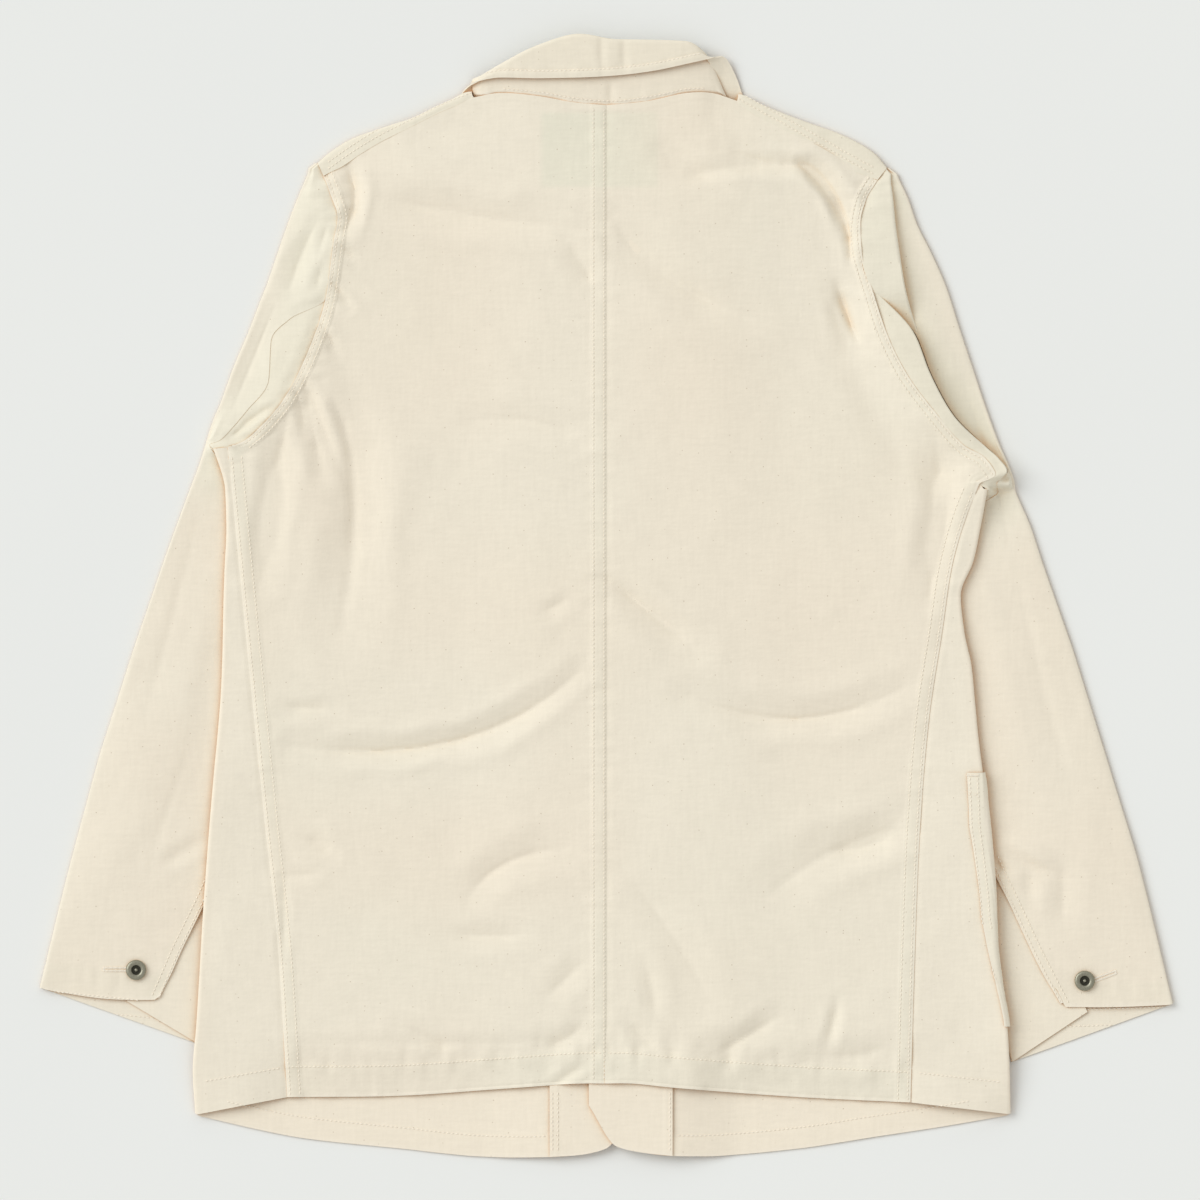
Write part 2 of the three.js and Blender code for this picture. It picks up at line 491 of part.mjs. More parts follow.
// A front as a grid: columns run from the side seam round the side fold and along the lower layer to
// the centre edge, rows from the hem up and, over the shoulder, on to the shoulder seam.
function frontGrid(side) {
  const outline = plan[side];
  const wrap = CELLS.strip + CELLS.arc;
  const mainRows = ROWS_BELOW_ARMPIT + armholeCells(side);
  const neckColumns = 3;
  const patchColumns = CELLS.shoulder + neckColumns - 1;
  const mainColumns = patchColumns + CELLS.facing;
  const armhole = SIDES[side].armhole;
  const edgeX = SIDES[side].frontEdge[0][0];
  const innerX = edgeX + (side === 'left' ? -FACING_WIDTH : FACING_WIDTH);
  const hemSplit = crossing(outline.hemLine, 0, innerX);
  const neckSplit = crossing(outline.neckLine, 0, innerX);
  const upTo = (line, point) => {
    const part = line.filter((p) => Math.abs(p[0]) > Math.abs(point[0]));
    return curveThrough([...part.filter((_, k) => k % 4 === 0), point]);
  };
  const radius = SIDE_FOLD_RISE / 2;
  const edgeOf = (row) => {
    if (row > ROWS_BELOW_ARMPIT) {
      return armhole[Math.round(row - ROWS_BELOW_ARMPIT)];
    }
    return row === 0 ? outline.foldLine[0] : crossing(outline.foldLine, 1, rowLevel(side, row));
  };
  const facingLevel = (row, hemY, neckY) => {
    if (row <= ROWS_BELOW_ARMPIT) {
      return row < CELLS.hemToFoot ? lerp(hemY, POCKET.footLevel, row / CELLS.hemToFoot) : rowLevel(side, row);
    }
    return lerp(armhole[0][1], neckY, (row - ROWS_BELOW_ARMPIT) / (mainRows - ROWS_BELOW_ARMPIT));
  };
  const flat = panel({
    left: edgeOf,
    right: (row) => [innerX, facingLevel(row, hemSplit[1], neckSplit[1])],
    bottom: upTo(outline.hemLine, hemSplit),
    top: joined(outline.shoulderFold, upTo(outline.neckLine, neckSplit), CELLS.shoulder / patchColumns),
    foot: CELLS.hemToFoot,
    head: ROWS_BELOW_ARMPIT,
    rows: mainRows,
  });
  const planAt = (i, j) => {
    if (i <= patchColumns) {
      return flat(i / patchColumns, j);
    }
    const x = lerp(innerX, edgeX, (i - patchColumns) / CELLS.facing);
    const [hemY, neckY] = [crossing(outline.hemLine, 0, x)[1], crossing(outline.neckLine, 0, x)[1]];
    return [x, facingLevel(j, hemY, neckY)];
  };
  const lowerAt = (i, j) => {
    let [x, y] = planAt(i, j);
    if (i === 0) {
      [x, y] = shifted([x, y], planAt(1, j), j <= ROWS_BELOW_ARMPIT ? radius : SEAM_SHARE);
    }
    if (j === mainRows) {
      [x, y] = shifted([x, y], planAt(i, j - 1), i <= CELLS.shoulder ? radius : SEAM_SHARE);
    }
    return [x, y, frontHeight(side, x, y)];
  };
  const sideWrap = (column, j) => {
    const edge = edgeOf(j);
    const inwards = unit(edge, planAt(1, j));
    const inner = [edge[0] + inwards[0] * radius, edge[1] + inwards[1] * radius];
    const bottom = frontHeight(side, ...inner);
    if (column >= CELLS.strip) {
      return foldPoint(edge, inwards, bottom + SIDE_FOLD_RISE, bottom, (column - CELLS.strip) / CELLS.arc);
    }
    const level = rowLevel(side, j);
    const seam = j === 0 ? outline.seamLine[0] : crossing(outline.seamLine, 1, level);
    const end = j === ROWS_BELOW_ARMPIT ? armhole[1] : seam;
    const point = mix(shifted(end, inner, SEAM_SHARE), inner, column / CELLS.strip);
    return [...point, backHeight(...point)];
  };
  const shoulderWrap = (i, row) => {
    const edge = planAt(i, mainRows);
    const seam = outline.shoulderSeam(i / CELLS.shoulder);
    const inwards = unit(edge, i === 0 ? armhole.at(-2) : planAt(i, mainRows - 1));
    const inner = [edge[0] + inwards[0] * radius, edge[1] + inwards[1] * radius];
    const bottom = frontHeight(side, ...inner);
    if (row <= CELLS.arc) {
      return foldPoint(edge, inwards, bottom + SIDE_FOLD_RISE, bottom, 1 - row / CELLS.arc);
    }
    const end = shifted(seam, edge, SEAM_SHARE);
    return [...end, Math.max(backHeight(...end), bottom + SIDE_FOLD_RISE - 0.4)];
  };
  const pointAt = (i, j) => {
    if (i < 0) {
      return sideWrap(i + wrap, j);
    }
    return j > mainRows ? shoulderWrap(i, j - mainRows) : lowerAt(i, j);
  };
  // Reads between the grid's points, so that what lies on the front follows it.
  const between = (i, j) => {
    const [a, b] = [Math.floor(i), Math.floor(j)];
    const near = mix(pointAt(a, b), i > a ? pointAt(a + 1, b) : pointAt(a, b), i - a);
    return j > b ? mix(near, mix(pointAt(a, b + 1), pointAt(i > a ? a + 1 : a, b + 1), i - a), j - b) : near;
  };
  return { wrap, mainRows, mainColumns, patchColumns, pointAt, between, edgeOf };
}

const frontGrids = { left: frontGrid('left'), right: frontGrid('right') };

function frontPiece(side) {
  const { wrap, mainRows, mainColumns, pointAt } = frontGrids[side];
  const columns = wrap + mainColumns;
  const gridColumn = (column) => (side === 'left' ? column : columns - column) - wrap;
  const hasCell = (column, j) => {
    const i = (side === 'left' ? column : columns - 1 - column) - wrap;
    return i < 0 ? j < ROWS_BELOW_ARMPIT : j < mainRows || i < CELLS.shoulder;
  };
  const place = (column, j) => pointAt(gridColumn(column), j);
  const geometry = clothGeometry(columns, mainRows + CELLS.arc + 1, place, hasCell);
  addPiece(`front_${side}`, geometry, FINISHES.innerDrill);
}

// A facing lies on its front's inner face, from the centre edge in.
function facingPiece(side) {
  const { mainRows, patchColumns, pointAt } = frontGrids[side];
  const place = (column, j) => {
    const i = side === 'left' ? column : CELLS.facing - column;
    const [x, y, z] = pointAt(patchColumns + i, j);
    return [x, y, z + LAYER];
  };
  addPiece(`facing_${side}`, clothGeometry(CELLS.facing, mainRows, place), FINISHES.innerDrill);
}


// Column of the right front's grid that a distance in from the side fold falls on.
function columnInFromFold(side, row, into) {
  const radius = SIDE_FOLD_RISE / 2;
  const { edgeOf } = frontGrids[side];
  if (into < radius) {
    const quarter = Math.asin(Math.min(1, 1 - into / radius)) / Math.PI;
    return CELLS.arc * (quarter - 1);
  }
  const width = Math.abs(edgeOf(row)[0] - crossing(plan[side].seamLine, 1, rowLevel(side, row))[0]) - radius;
  return -CELLS.arc - (CELLS.strip * (into - radius)) / width;
}

// Patch pockets lie on the outer faces of the fronts, point for point; the right one reaches round
// the side on to the upper layer.
function pocketPiece(side) {
  const { between, pointAt, wrap } = frontGrids[side];
  const { footRow, mouthRow } = POCKET;
  const [first, last] = POCKET_COLUMNS[side];
  const edgeLine = POCKET_BACK_EDGE.map(({ y, into }) => [into, y]);
  const outside = (CLOTH + SEAM_GAP + 0.1) * (side === 'left' ? -1 : 1);
  const normalAt = (i, j) => {
    const total = new THREE.Vector3();
    for (const [a, b] of [[i - 1, j - 1], [i, j - 1], [i - 1, j], [i, j]]) {
      if (a >= -wrap) {
        const [p, q, r, s] = [[a, b], [a + 1, b], [a + 1, b + 1], [a, b + 1]]
          .map((corner) => new THREE.Vector3(...pointAt(...corner)));
        total.add(r.sub(p).cross(s.sub(q)).normalize());
      }
    }
    return total.normalize().toArray();
  };
  const columnsAt = (row) => {
    const whole = Array.from({ length: last - first + 1 }, (_, k) => first + k);
    if (side === 'left') {
      return whole;
    }
    const start = columnInFromFold(side, row, crossing(edgeLine, 1, rowLevel(side, row))[0]);
    const round = [start, ...Array.from({ length: CELLS.arc }, (_, k) => k - CELLS.arc)];
    return [...round.map((column, k) => Math.max(column, start + 0.12 * k)), ...whole];
  };
  const count = columnsAt(footRow).length - 1;
  const place = (column, k) => {
    const row = footRow + k;
    const i = columnsAt(row)[side === 'left' ? column : count - column];
    const low = Math.floor(i);
    const normal = i > low ? mix(normalAt(low, row), normalAt(low + 1, row), i - low) : normalAt(low, row);
    return between(i, row).map((value, axis) => value + outside * normal[axis]);
  };
  addPiece(`pocket_${side}`, clothGeometry(count, mouthRow - footRow, place), FINISHES.drill);
}

// Sleeve rows from the cuff to the shoulder tip: closed ones first, then one for each armhole station.
function sleeveRows(side) {
  const { closed, open } = SLEEVES[side];
  const steps = [1, 1, 1, 2, 3, 2, 1, 1, 1];
  const rows = closed.flatMap((row, k) => Array.from({ length: steps[k] }, (_, step) => {
    const t = step / steps[k];
    const next = closed[k + 1] ?? row;
    const points = Object.fromEntries(Object.keys(row).map((key) => [key, mix(row[key], next[key], t)]));
    return { ...points, station: -1, slit: k < 3, low: k + t <= 3, share: (k + t) / closed.length };
  }));
  SIDES[side].armhole.forEach((point, station) => {
    rows.push({
      out: open.out[station], seam: open.seam[station], fold: open.fold?.[station], in: point, station, share: 1,
    });
  });
  return rows;
}

// Middle of a sleeve's upper layer where it lies clear of the body.
function sleeveFlat(side, row, x, y) {
  const rise = row.low ? 2 * CUFF_RISE : SLEEVE_FOLD_RISE;
  const fromBody = distanceOutside(bodyRing, x, y);
  const fromOut = distanceToLine(plan[side].sleeveOuterLine, x, y);
  return FLOOR_LAYER + rise + SLEEVE_PUFF * ease(6, 40, fromBody) * ease(0, 30, fromOut) * ease(0, 0.35, row.share);
}

// The same, rising to the back's height along the armhole.
function sleeveTop(side, row, x, y) {
  const flat = sleeveFlat(side, row, x, y);
  if (row.station < 1) {
    return flat;
  }
  const near = 1 - ease(0, 36, distanceToLine(plan[side].armholeLine, x, y));
  return lerp(flat, backHeight(...row.in) - 0.2, near);
}

// Middle of a sleeve's lower layer, which rises to the front's height along the armhole.
function sleeveBottom(side, row, x, y) {
  if (row.station < 2) {
    return FLOOR_LAYER;
  }
  const near = 1 - ease(0, side === 'left' ? 34 : 14, distanceToLine(plan[side].armholeLine, x, y));
  return lerp(FLOOR_LAYER, frontHeight(side, ...row.in), near);
}

function spread(from, to, count, height) {
  return Array.from({ length: count + 1 }, (_, k) => {
    const point = mix(from, to, k / count);
    return [...point, height(...point)];
  });
}

// The turned over band between the right armhole and the sharp fold, from its start by way of the
// fold's edge down to the layer beneath.
function foldedBand(start, row, along, scale) {
  const high = backHeight(...row.in) + 0.6;
  const low = sleeveFlat('right', row, ...row.fold);
  const middle = mix(start, row.fold, 0.5);
  return [
    [...start, backHeight(...row.in) - 0.2],
    [...middle, high],
    [...row.fold, high],
    [...along(row.fold, 0.8 * scale), lerp(high, low, 0.5)],
    [...along(row.fold, 0.4 * scale), low],
  ];
}

function sleevePieces(side) {
  const mirror = side === 'right';
  const rows = sleeveRows(side);
  const seamStations = SLEEVES[side].open.seam.length;
  const closedRows = rows.filter((row) => row.station < 0).length;
  const changeOver = mirror ? seamStations - 1 : Infinity;
  const lap = 6;
  const sections = rows.map((row) => {
    const outwards = unit(row.in, row.out);
    const along = (point, distance) => [point[0] + outwards[0] * distance, point[1] + outwards[1] * distance];
    const open = row.station >= 0;
    const seamClear = SEAM_SHARE + (mirror && open ? 0.5 : 0);
    const clear = row.station === 0 || row.station === 1 ? 2.5 : seamClear;
    const edge = along(row.in, clear);
    const folded = mirror && row.station >= 2;
    const flat = (x, y) => (folded ? sleeveFlat(side, row, x, y) : sleeveTop(side, row, x, y));

    // Upper layer of the top sleeve
    const bandWidth = folded ? Math.hypot(row.out[0] - row.fold[0], row.out[1] - row.fold[1]) : 0;
    const scale = Math.min(1, bandWidth / 8);
    let band = [];
    let start = row.slit ? row.seam : along(row.seam ?? row.in, seamClear);
    if (folded && row.station >= changeOver) {
      const bandStart = row.station === changeOver ? along(row.seam, 0.6) : edge;
      band = foldedBand(bandStart, row, along, scale);
      start = band.pop().slice(0, 2);
    } else if (mirror) {
      start = folded ? along(row.fold, 2 * scale) : start;
      const room = 0.2 * (Math.hypot(row.out[0] - start[0], row.out[1] - start[1]) - 0.3 * bandWidth);
      const step = Math.min(0.6, Math.max(0.1, room / CELLS.foldBand));
      band = spread(start, along(start, step * CELLS.foldBand), CELLS.foldBand, flat);
      start = band.pop().slice(0, 2);
    }
    const width = Math.hypot(row.out[0] - start[0], row.out[1] - start[1]);
    const radius = Math.min(CUFF_RISE, 0.4 * width);
    const turnFrom = along(row.out, -radius);
    const upper = spread(start, turnFrom, CELLS.sleeve, flat);
    const roundTop = FLOOR_LAYER + (row.low ? 2 * CUFF_RISE : SLEEVE_FOLD_RISE);
    upper[CELLS.sleeve][2] = roundTop;
    const round = [1, 2].map((k) => {
      const point = foldPoint(row.out, [-outwards[0], -outwards[1]], roundTop, FLOOR_LAYER, k / CELLS.arc);
      const back = radius * (1 - Math.sin((Math.PI * k) / CELLS.arc));
      return [...along(row.out, -back), point[2]];
    });

    // Its lower layer
    const lowerEnd = open ? edge : along(row.in, lap + SEAM_GAP);
    let lower = spread(turnFrom, lowerEnd, CELLS.sleeve, (x, y) => sleeveBottom(side, row, x, y));
    if (folded) {
      const turn = along(row.fold, Math.min(0.6, 0.1 * bandWidth));
      const half = mix(row.fold, lowerEnd, 0.5);
      const inner = frontHeight(side, ...row.in);
      lower = [
        [...turnFrom, FLOOR_LAYER], [...mix(turnFrom, turn, 0.5), FLOOR_LAYER], [...turn, FLOOR_LAYER],
        [...half, lerp(FLOOR_LAYER, inner, 0.5)], [...lowerEnd, inner],
      ];
    }
    lower[0][2] = FLOOR_LAYER;

    // Under sleeve: upper layer, round of the fold beneath the body and its lap under the sleeve
    const rise = row.low ? CUFF_RISE : SLEEVE_FOLD_RISE;
    const under = [];
    if (folded && row.station < changeOver) {
      under.push(...foldedBand(edge, row, along, 0.5 * scale).reverse());
    } else if (folded && row.station === changeOver) {
      under.push(...spread(row.seam, edge, CELLS.foldBand, () => backHeight(...row.in) - 0.2));
    } else if (open && row.seam) {
      const from = along(row.seam, -SEAM_SHARE);
      under.push(...spread(from, edge, CELLS.foldBand, (x, y) => sleeveTop(side, row, x, y)));
    } else if (!open) {
      const from = row.slit ? row.under : along(row.under, -SEAM_SHARE);
      under.push(...spread(from, along(row.in, rise / 2), CELLS.foldBand, () => FLOOR_LAYER + rise));
    }
    const underRound = [1, 2].map((k) => foldPoint(row.in, outwards, FLOOR_LAYER + rise, FLOOR_LAYER, k / CELLS.arc));
    const lapPoints = [along(row.in, rise / 2), along(row.in, lap)].map((point) => [...point, FLOOR_LAYER]);
    return { top: [...band, ...upper, ...round, ...lower], under: [...under, ...underRound, ...lapPoints] };
  });
  const topColumns = sections[0].top.length - 1;
  const topPlace = (column, j) => sections[j].top[mirror ? topColumns - column : column];
  addPiece(`sleeve_top_${side}`, clothGeometry(topColumns, rows.length - 1, topPlace), FINISHES.drill);
  const underColumns = sections[0].under.length - 1;
  const underPlace = (column, j) => sections[j].under[mirror ? column : underColumns - column];
  const hasUnder = (column, j) => {
    const i = mirror ? column : underColumns - 1 - column;
    return i < CELLS.foldBand || j < closedRows - 1;
  };
  const underGeometry = clothGeometry(underColumns, closedRows + seamStations - 1, underPlace, hasUnder);
  addPiece(`sleeve_under_${side}`, underGeometry, FINISHES.drill);
}

// Smooth reading of one row of the collar table.
function collarCurve(key, heightOf) {
  const vectors = COLLAR.map((station) => new THREE.Vector3(...station[key], heightOf(station)));
  const curve = new THREE.CatmullRomCurve3(vectors, false, 'centripetal');
  return (place) => curve.getPoint(place / (COLLAR.length - 1)).toArray();
}

// The stand rises from the neck seam nearly to the roll; the leaf turns over there and comes back.
function collarPieces() {
  const seam = collarCurve('seam', ({ low }) => low);
  const roll = collarCurve('roll', ({ low, high }) => (low + high) / 2);
  const edge = collarCurve('edge', ({ high }) => high);
  const rows = COLLAR.length - 1;
  const standPlace = (i, j) => {
    const [from, to] = [seam(j), roll(j)];
    const length = Math.hypot(to[0] - from[0], to[1] - from[1]);
    const point = mix(from, to, lerp(SEAM_SHARE / length, 1 - 2.5 / length, i / 3));
    return [point[0], point[1], from[2] + 0.2 * (i / 3)];
  };
  addPiece('collar_stand', clothGeometry(3, rows, standPlace), FINISHES.drill);
  const leafPlace = (i, j) => {
    const [from, to] = [roll(j), edge(j)];
    const point = mix(from, to, [0, 0.15, 0.55, 1][i]);
    return [point[0], point[1], i === 0 ? from[2] : to[2]];
  };
  addPiece('collar_leaf', clothGeometry(3, rows, leafPlace), FINISHES.drill);
}

function labelPiece() {
  const { width, length, wall } = LABEL_SIZE;
  const centre = [-4, 331];
  const place = (i, j) => {
    const x = centre[0] + width * (i / 4 - 0.5);
    const y = centre[1] + length * (j / 3 - 0.5);
    return [x, y, backHeight(x, y) - CLOTH / 2 - wall / 2 - SEAM_GAP - 0.7];
  };
  addPiece('neck_label', clothGeometry(4, 3, place, () => true, wall), FINISHES.label);
}

// Ring button: a rim, a sunk face and a small stud at the centre, turned about its own axis.
function buttonGeometry() {
  const radius = BUTTON_DIAMETER / 2;
  const profile = [
    [0, 0], [radius - 0.6, 0], [radius, 1.2], [radius - 1.4, BUTTON_HEIGHT], [radius - 3.6, 1.7], [1.4, 1.5], [0, 2.4],
  ].map(([x, y]) => new THREE.Vector2(x, y));
  return new THREE.LatheGeometry(profile, 14).rotateX(Math.PI / 2);
}

function addButton(name, x, y, z, faceDown) {
  const button = addPiece(name, buttonGeometry(), FINISHES.button);
  button.rotation.x = faceDown ? Math.PI : 0;
  button.position.set(x, y, faceDown ? z + BUTTON_HEIGHT : z);
}

// A cuff button stands on the highest place of the cloth beneath it.
function cuffButton(side, x, y) {
  const row = { low: true, slit: true, station: -1, share: 0.11 };
  const around = Array.from({ length: 9 }, (_, k) => [
    x + (k < 8 ? (BUTTON_DIAMETER / 2) * Math.cos((k * Math.PI) / 4) : 0),
    y + (k < 8 ? (BUTTON_DIAMETER / 2) * Math.sin((k * Math.PI) / 4) : 0),
  ]);
  const top = Math.max(...around.map((point) => sleeveTop(side, row, ...point)));
  addButton(`cuff_button_${side}`, x, y, top + CLOTH / 2 + SEAM_GAP, false);
}

for (const side of ['left', 'right']) {
  backPiece(side);
  frontPiece(side);
  facingPiece(side);
  sleevePieces(side);
  pocketPiece(side);
}
collarPieces();
labelPiece();
cuffButton('left', -347, -276);
cuffButton('right', 355, -284);
for (let k = 0; k < FRONT_BUTTONS.count; k += 1) {
  const y = lerp(FRONT_BUTTONS.first, FRONT_BUTTONS.last, k / (FRONT_BUTTONS.count - 1));
  addButton(`front_button_${k + 1}`, CENTRE_FRONT_X, y, 0, true);
}

export default jacket;
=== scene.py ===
"""Chore jacket of undyed cotton drill, buttoned and laid flat on its front with its back uppermost.

Plan sizes are in millimetres: X to the right, Y towards the collar, Z up from the surface that the
jacket lies on. Meshes are made in metres, in the same frame.
"""

import logging
import math
from dataclasses import dataclass, field
from enum import Enum
from typing import Callable, Sequence

import bpy
import numpy as np
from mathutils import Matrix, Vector

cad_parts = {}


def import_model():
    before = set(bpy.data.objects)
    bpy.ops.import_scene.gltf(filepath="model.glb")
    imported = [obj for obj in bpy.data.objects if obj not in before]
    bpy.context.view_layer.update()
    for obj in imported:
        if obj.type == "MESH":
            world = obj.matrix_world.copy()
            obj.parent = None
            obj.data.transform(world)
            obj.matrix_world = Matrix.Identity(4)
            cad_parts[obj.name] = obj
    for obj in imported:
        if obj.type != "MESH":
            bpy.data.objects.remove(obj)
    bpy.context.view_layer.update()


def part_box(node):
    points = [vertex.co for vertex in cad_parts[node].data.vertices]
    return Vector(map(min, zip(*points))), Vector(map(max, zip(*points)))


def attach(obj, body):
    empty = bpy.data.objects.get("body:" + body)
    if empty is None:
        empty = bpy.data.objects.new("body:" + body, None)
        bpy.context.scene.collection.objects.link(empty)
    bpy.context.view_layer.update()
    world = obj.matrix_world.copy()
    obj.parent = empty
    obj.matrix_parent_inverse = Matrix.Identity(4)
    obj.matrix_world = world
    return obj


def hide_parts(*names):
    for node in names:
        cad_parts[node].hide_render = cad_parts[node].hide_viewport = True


LOG = logging.getLogger("chore_jacket")
Material = bpy.types.Material
Piece = bpy.types.Object
Tree = bpy.types.NodeTree
MM = 0.001
Points = Sequence[Sequence[float]]

# Driving sizes of the laid cloth, in millimetres
CLOTH = 1.2
SEAM_GAP = 0.3
LAYER = CLOTH + 0.4
FLOOR_LAYER = CLOTH / 2
SIDE_FOLD_RISE = 4.4
SLEEVE_FOLD_RISE = 2.6
CUFF_RISE = 1.7
SLEEVE_PUFF = 2.4
BACK_LEVEL = 9.8
CENTRE_FRONT_X = 4.0
BUTTON_HEIGHT = 3.0
FACING_WIDTH = 62.0
SLEEVE_REACH = 42.0
ARMPIT_LIFT = 7.0
POCKET_FOOT = -318.0
POCKET_MOUTH = -130.0

# Cells of the coarse grids that the cloth is smoothed from
HEM_TO_FOOT, FOOT_TO_MOUTH, MOUTH_TO_ARMPIT = 2, 6, 8
SHOULDER, NECK, FACING, STRIP, ARC, SLEEVE, BAND = 8, 5, 3, 2, 3, 4, 4
BELOW_ARMPIT = HEM_TO_FOOT + FOOT_TO_MOUTH + MOUTH_TO_ARMPIT


class Side(Enum):
    """The two sides of the jacket as it is seen from above."""

    LEFT = "left"
    RIGHT = "right"

    @property
    def outwards(self) -> int:
        """Sign of the X direction away from the centre."""
        return -1 if self is Side.LEFT else 1


@dataclass(frozen=True)
class BodyCut:
    """Outline of one side of the body; lines run from the hem up and from the side inwards."""

    fold: Points
    seam: Points
    armhole: Points
    shoulder_fold: Points
    shoulder_seam: Points
    back_neck: Points
    back_hem: Points
    front_neck: Points
    front_hem: Points
    front_edge: float


@dataclass(frozen=True)
class SleeveCut:
    """Sections of one sleeve: closed ones from the cuff up, then one for each armhole station.

    A closed section gives its outer fold, its back seam or slit edge, the edge of the under sleeve
    there, and the fold beneath the body.
    """

    closed: Sequence[Points]
    out: Points
    seam: Points
    fold: Points = ()

BODY_CUTS = {
    Side.LEFT: BodyCut(
        fold=(
            (-303, -382), (-305, -354), (-302, -313), (-297, -229), (-291, -150), (-284, -69),
            (-282, 5), (-280, 68), (-283, 91), (-290, 110),
        ),
        seam=(
            (-235, -370), (-242, -261), (-252, -165), (-261, -76), (-270, 16), (-276, 79),
            (-279, 111),
        ),
        armhole=(
            (-290, 110), (-279, 111), (-268, 115), (-254, 127), (-238, 146), (-223, 174),
            (-211, 205), (-206.5, 222), (-201, 262), (-198, 281), (-203, 298), (-208.5, 312),
            (-212.5, 321),
        ),
        shoulder_fold=(
            (-212.5, 321), (-193, 336), (-168, 346), (-141, 355), (-123, 364), (-99, 374),
        ),
        shoulder_seam=(
            (-208.5, 312), (-199, 319), (-186, 328), (-168, 339), (-141, 352.5), (-123, 361.5),
            (-98, 371.5),
        ),
        back_neck=(
            (-98, 369.5), (-79, 373), (-51, 371), (-22, 366), (1, 364),
        ),
        back_hem=(
            (-235, -370), (-152, -369), (-78, -364), (-19, -360), (0, -360),
        ),
        front_neck=(
            (-98, 368), (-91, 346), (-67, 312), (-33, 294), (4, 289), (21, 290),
        ),
        front_hem=(
            (-303, -383), (-270, -391), (-226, -400), (-152, -408), (-92, -414), (-33, -414),
            (-4, -410), (13, -400), (21, -380),
        ),
        front_edge=21.0,
    ),
    Side.RIGHT: BodyCut(
        fold=(
            (300, -382), (299, -341), (297, -312), (290, -269), (288, -217), (283, -159),
            (276, -102), (270, -43), (262, -4), (270, 17), (277, 48), (283, 80),
        ),
        seam=(
            (226, -374), (229, -269), (233, -172), (240, -87), (249, -28), (257, 24), (267, 59),
            (277, 84),
        ),
        armhole=(
            (283, 80), (277, 84), (289, 91), (280, 104), (266, 112), (245, 136), (224, 164),
            (209, 194), (198, 227), (190, 255), (189, 276), (193, 294), (202, 309), (208.5, 317.5),
        ),
        shoulder_fold=(
            (208.5, 317.5), (198, 329), (177, 341), (147, 352), (124, 361), (99, 372),
        ),
        shoulder_seam=(
            (202, 309), (180, 321), (159, 333), (136, 346), (114, 358), (98, 367),
        ),
        back_neck=(
            (98, 367), (79, 373), (60, 373), (31, 367), (1, 364),
        ),
        back_hem=(
            (226, -374), (144, -370), (50, -363), (20, -360), (0, -360),
        ),
        front_neck=(
            (98, 366), (92, 346), (75, 312), (42, 294), (4, 289), (-12, 290),
        ),
        front_hem=(
            (300, -383), (255, -391), (196, -400), (144, -408), (70, -414), (33, -412), (5, -405),
            (-7, -394), (-12, -376),
        ),
        front_edge=-12.0,
    ),
}

SLEEVE_CUTS = {
    Side.LEFT: SleeveCut(
        closed=(
            ((-418, -289), (-329, -298), (-354, -299), (-300, -331)),
            ((-410, -256), (-314, -263), (-337, -263), (-288, -287)),
            ((-402, -223), (-295, -224), (-316, -226), (-270, -243)),
            ((-393, -188), (-280, -191), (-280, -191), (-254, -201)),
            ((-374, -118), (-270, -121), (-270, -121), (-226, -124)),
            ((-350, -43), (-268, -43), (-268, -43), (-212, -47)),
            ((-325, 30), (-268, 30), (-268, 30), (-212, 23)),
            ((-309, 74), (-272, 72), (-272, 72), (-238, 68)),
            ((-300, 98), (-281, 95), (-281, 95), (-263, 92)),
        ),
        out=(
            (-295, 114), (-293, 121), (-290, 130), (-284, 144), (-275, 169), (-264, 195),
            (-254, 221), (-250, 231), (-236, 272), (-230, 288), (-224, 303), (-219.5, 314),
            (-218.5, 321),
        ),
        seam=(
            (-292.5, 112), (-285, 116), (-276, 125), (-265, 138), (-249, 160), (-247, 190),
            (-233, 206), (-208.5, 221.5),
        ),
    ),
    Side.RIGHT: SleeveCut(
        closed=(
            ((420, -301), (337, -304), (357, -307), (301, -344)),
            ((411, -263), (317, -265), (338, -265), (287, -291)),
            ((402, -226), (299, -226), (319, -226), (269, -243)),
            ((393, -191), (284, -194), (284, -194), (252, -202)),
            ((369, -113), (267, -115), (267, -115), (215, -121)),
            ((346, -39), (252, -41), (252, -41), (198, -47)),
            ((324, 24), (249, 23), (249, 23), (195, 16)),
            ((314, 54), (262, 51), (262, 51), (222, 46)),
            ((307, 70), (276, 67), (276, 67), (252, 64)),
        ),
        out=(
            (303.5, 79), (303, 84), (301, 91), (296, 103), (292, 112), (281, 142), (272, 169),
            (262, 199), (252, 230), (240, 257), (231, 275), (224, 295), (217.5, 309),
            (214.5, 317.5),
        ),
        seam=(
            (291, 78), (290, 84), (297, 93), (291, 102), (281, 111), (258, 133), (240, 165),
            (228, 195), (200.5, 227),
        ),
        fold=(
            (291, 78), (290, 84), (297, 93), (291, 102), (281, 111), (258, 133), (240, 165),
            (228, 195), (221, 229), (217, 254), (214, 275), (212, 295), (210.5, 309),
            (211.5, 317.5),
        ),
    ),
}

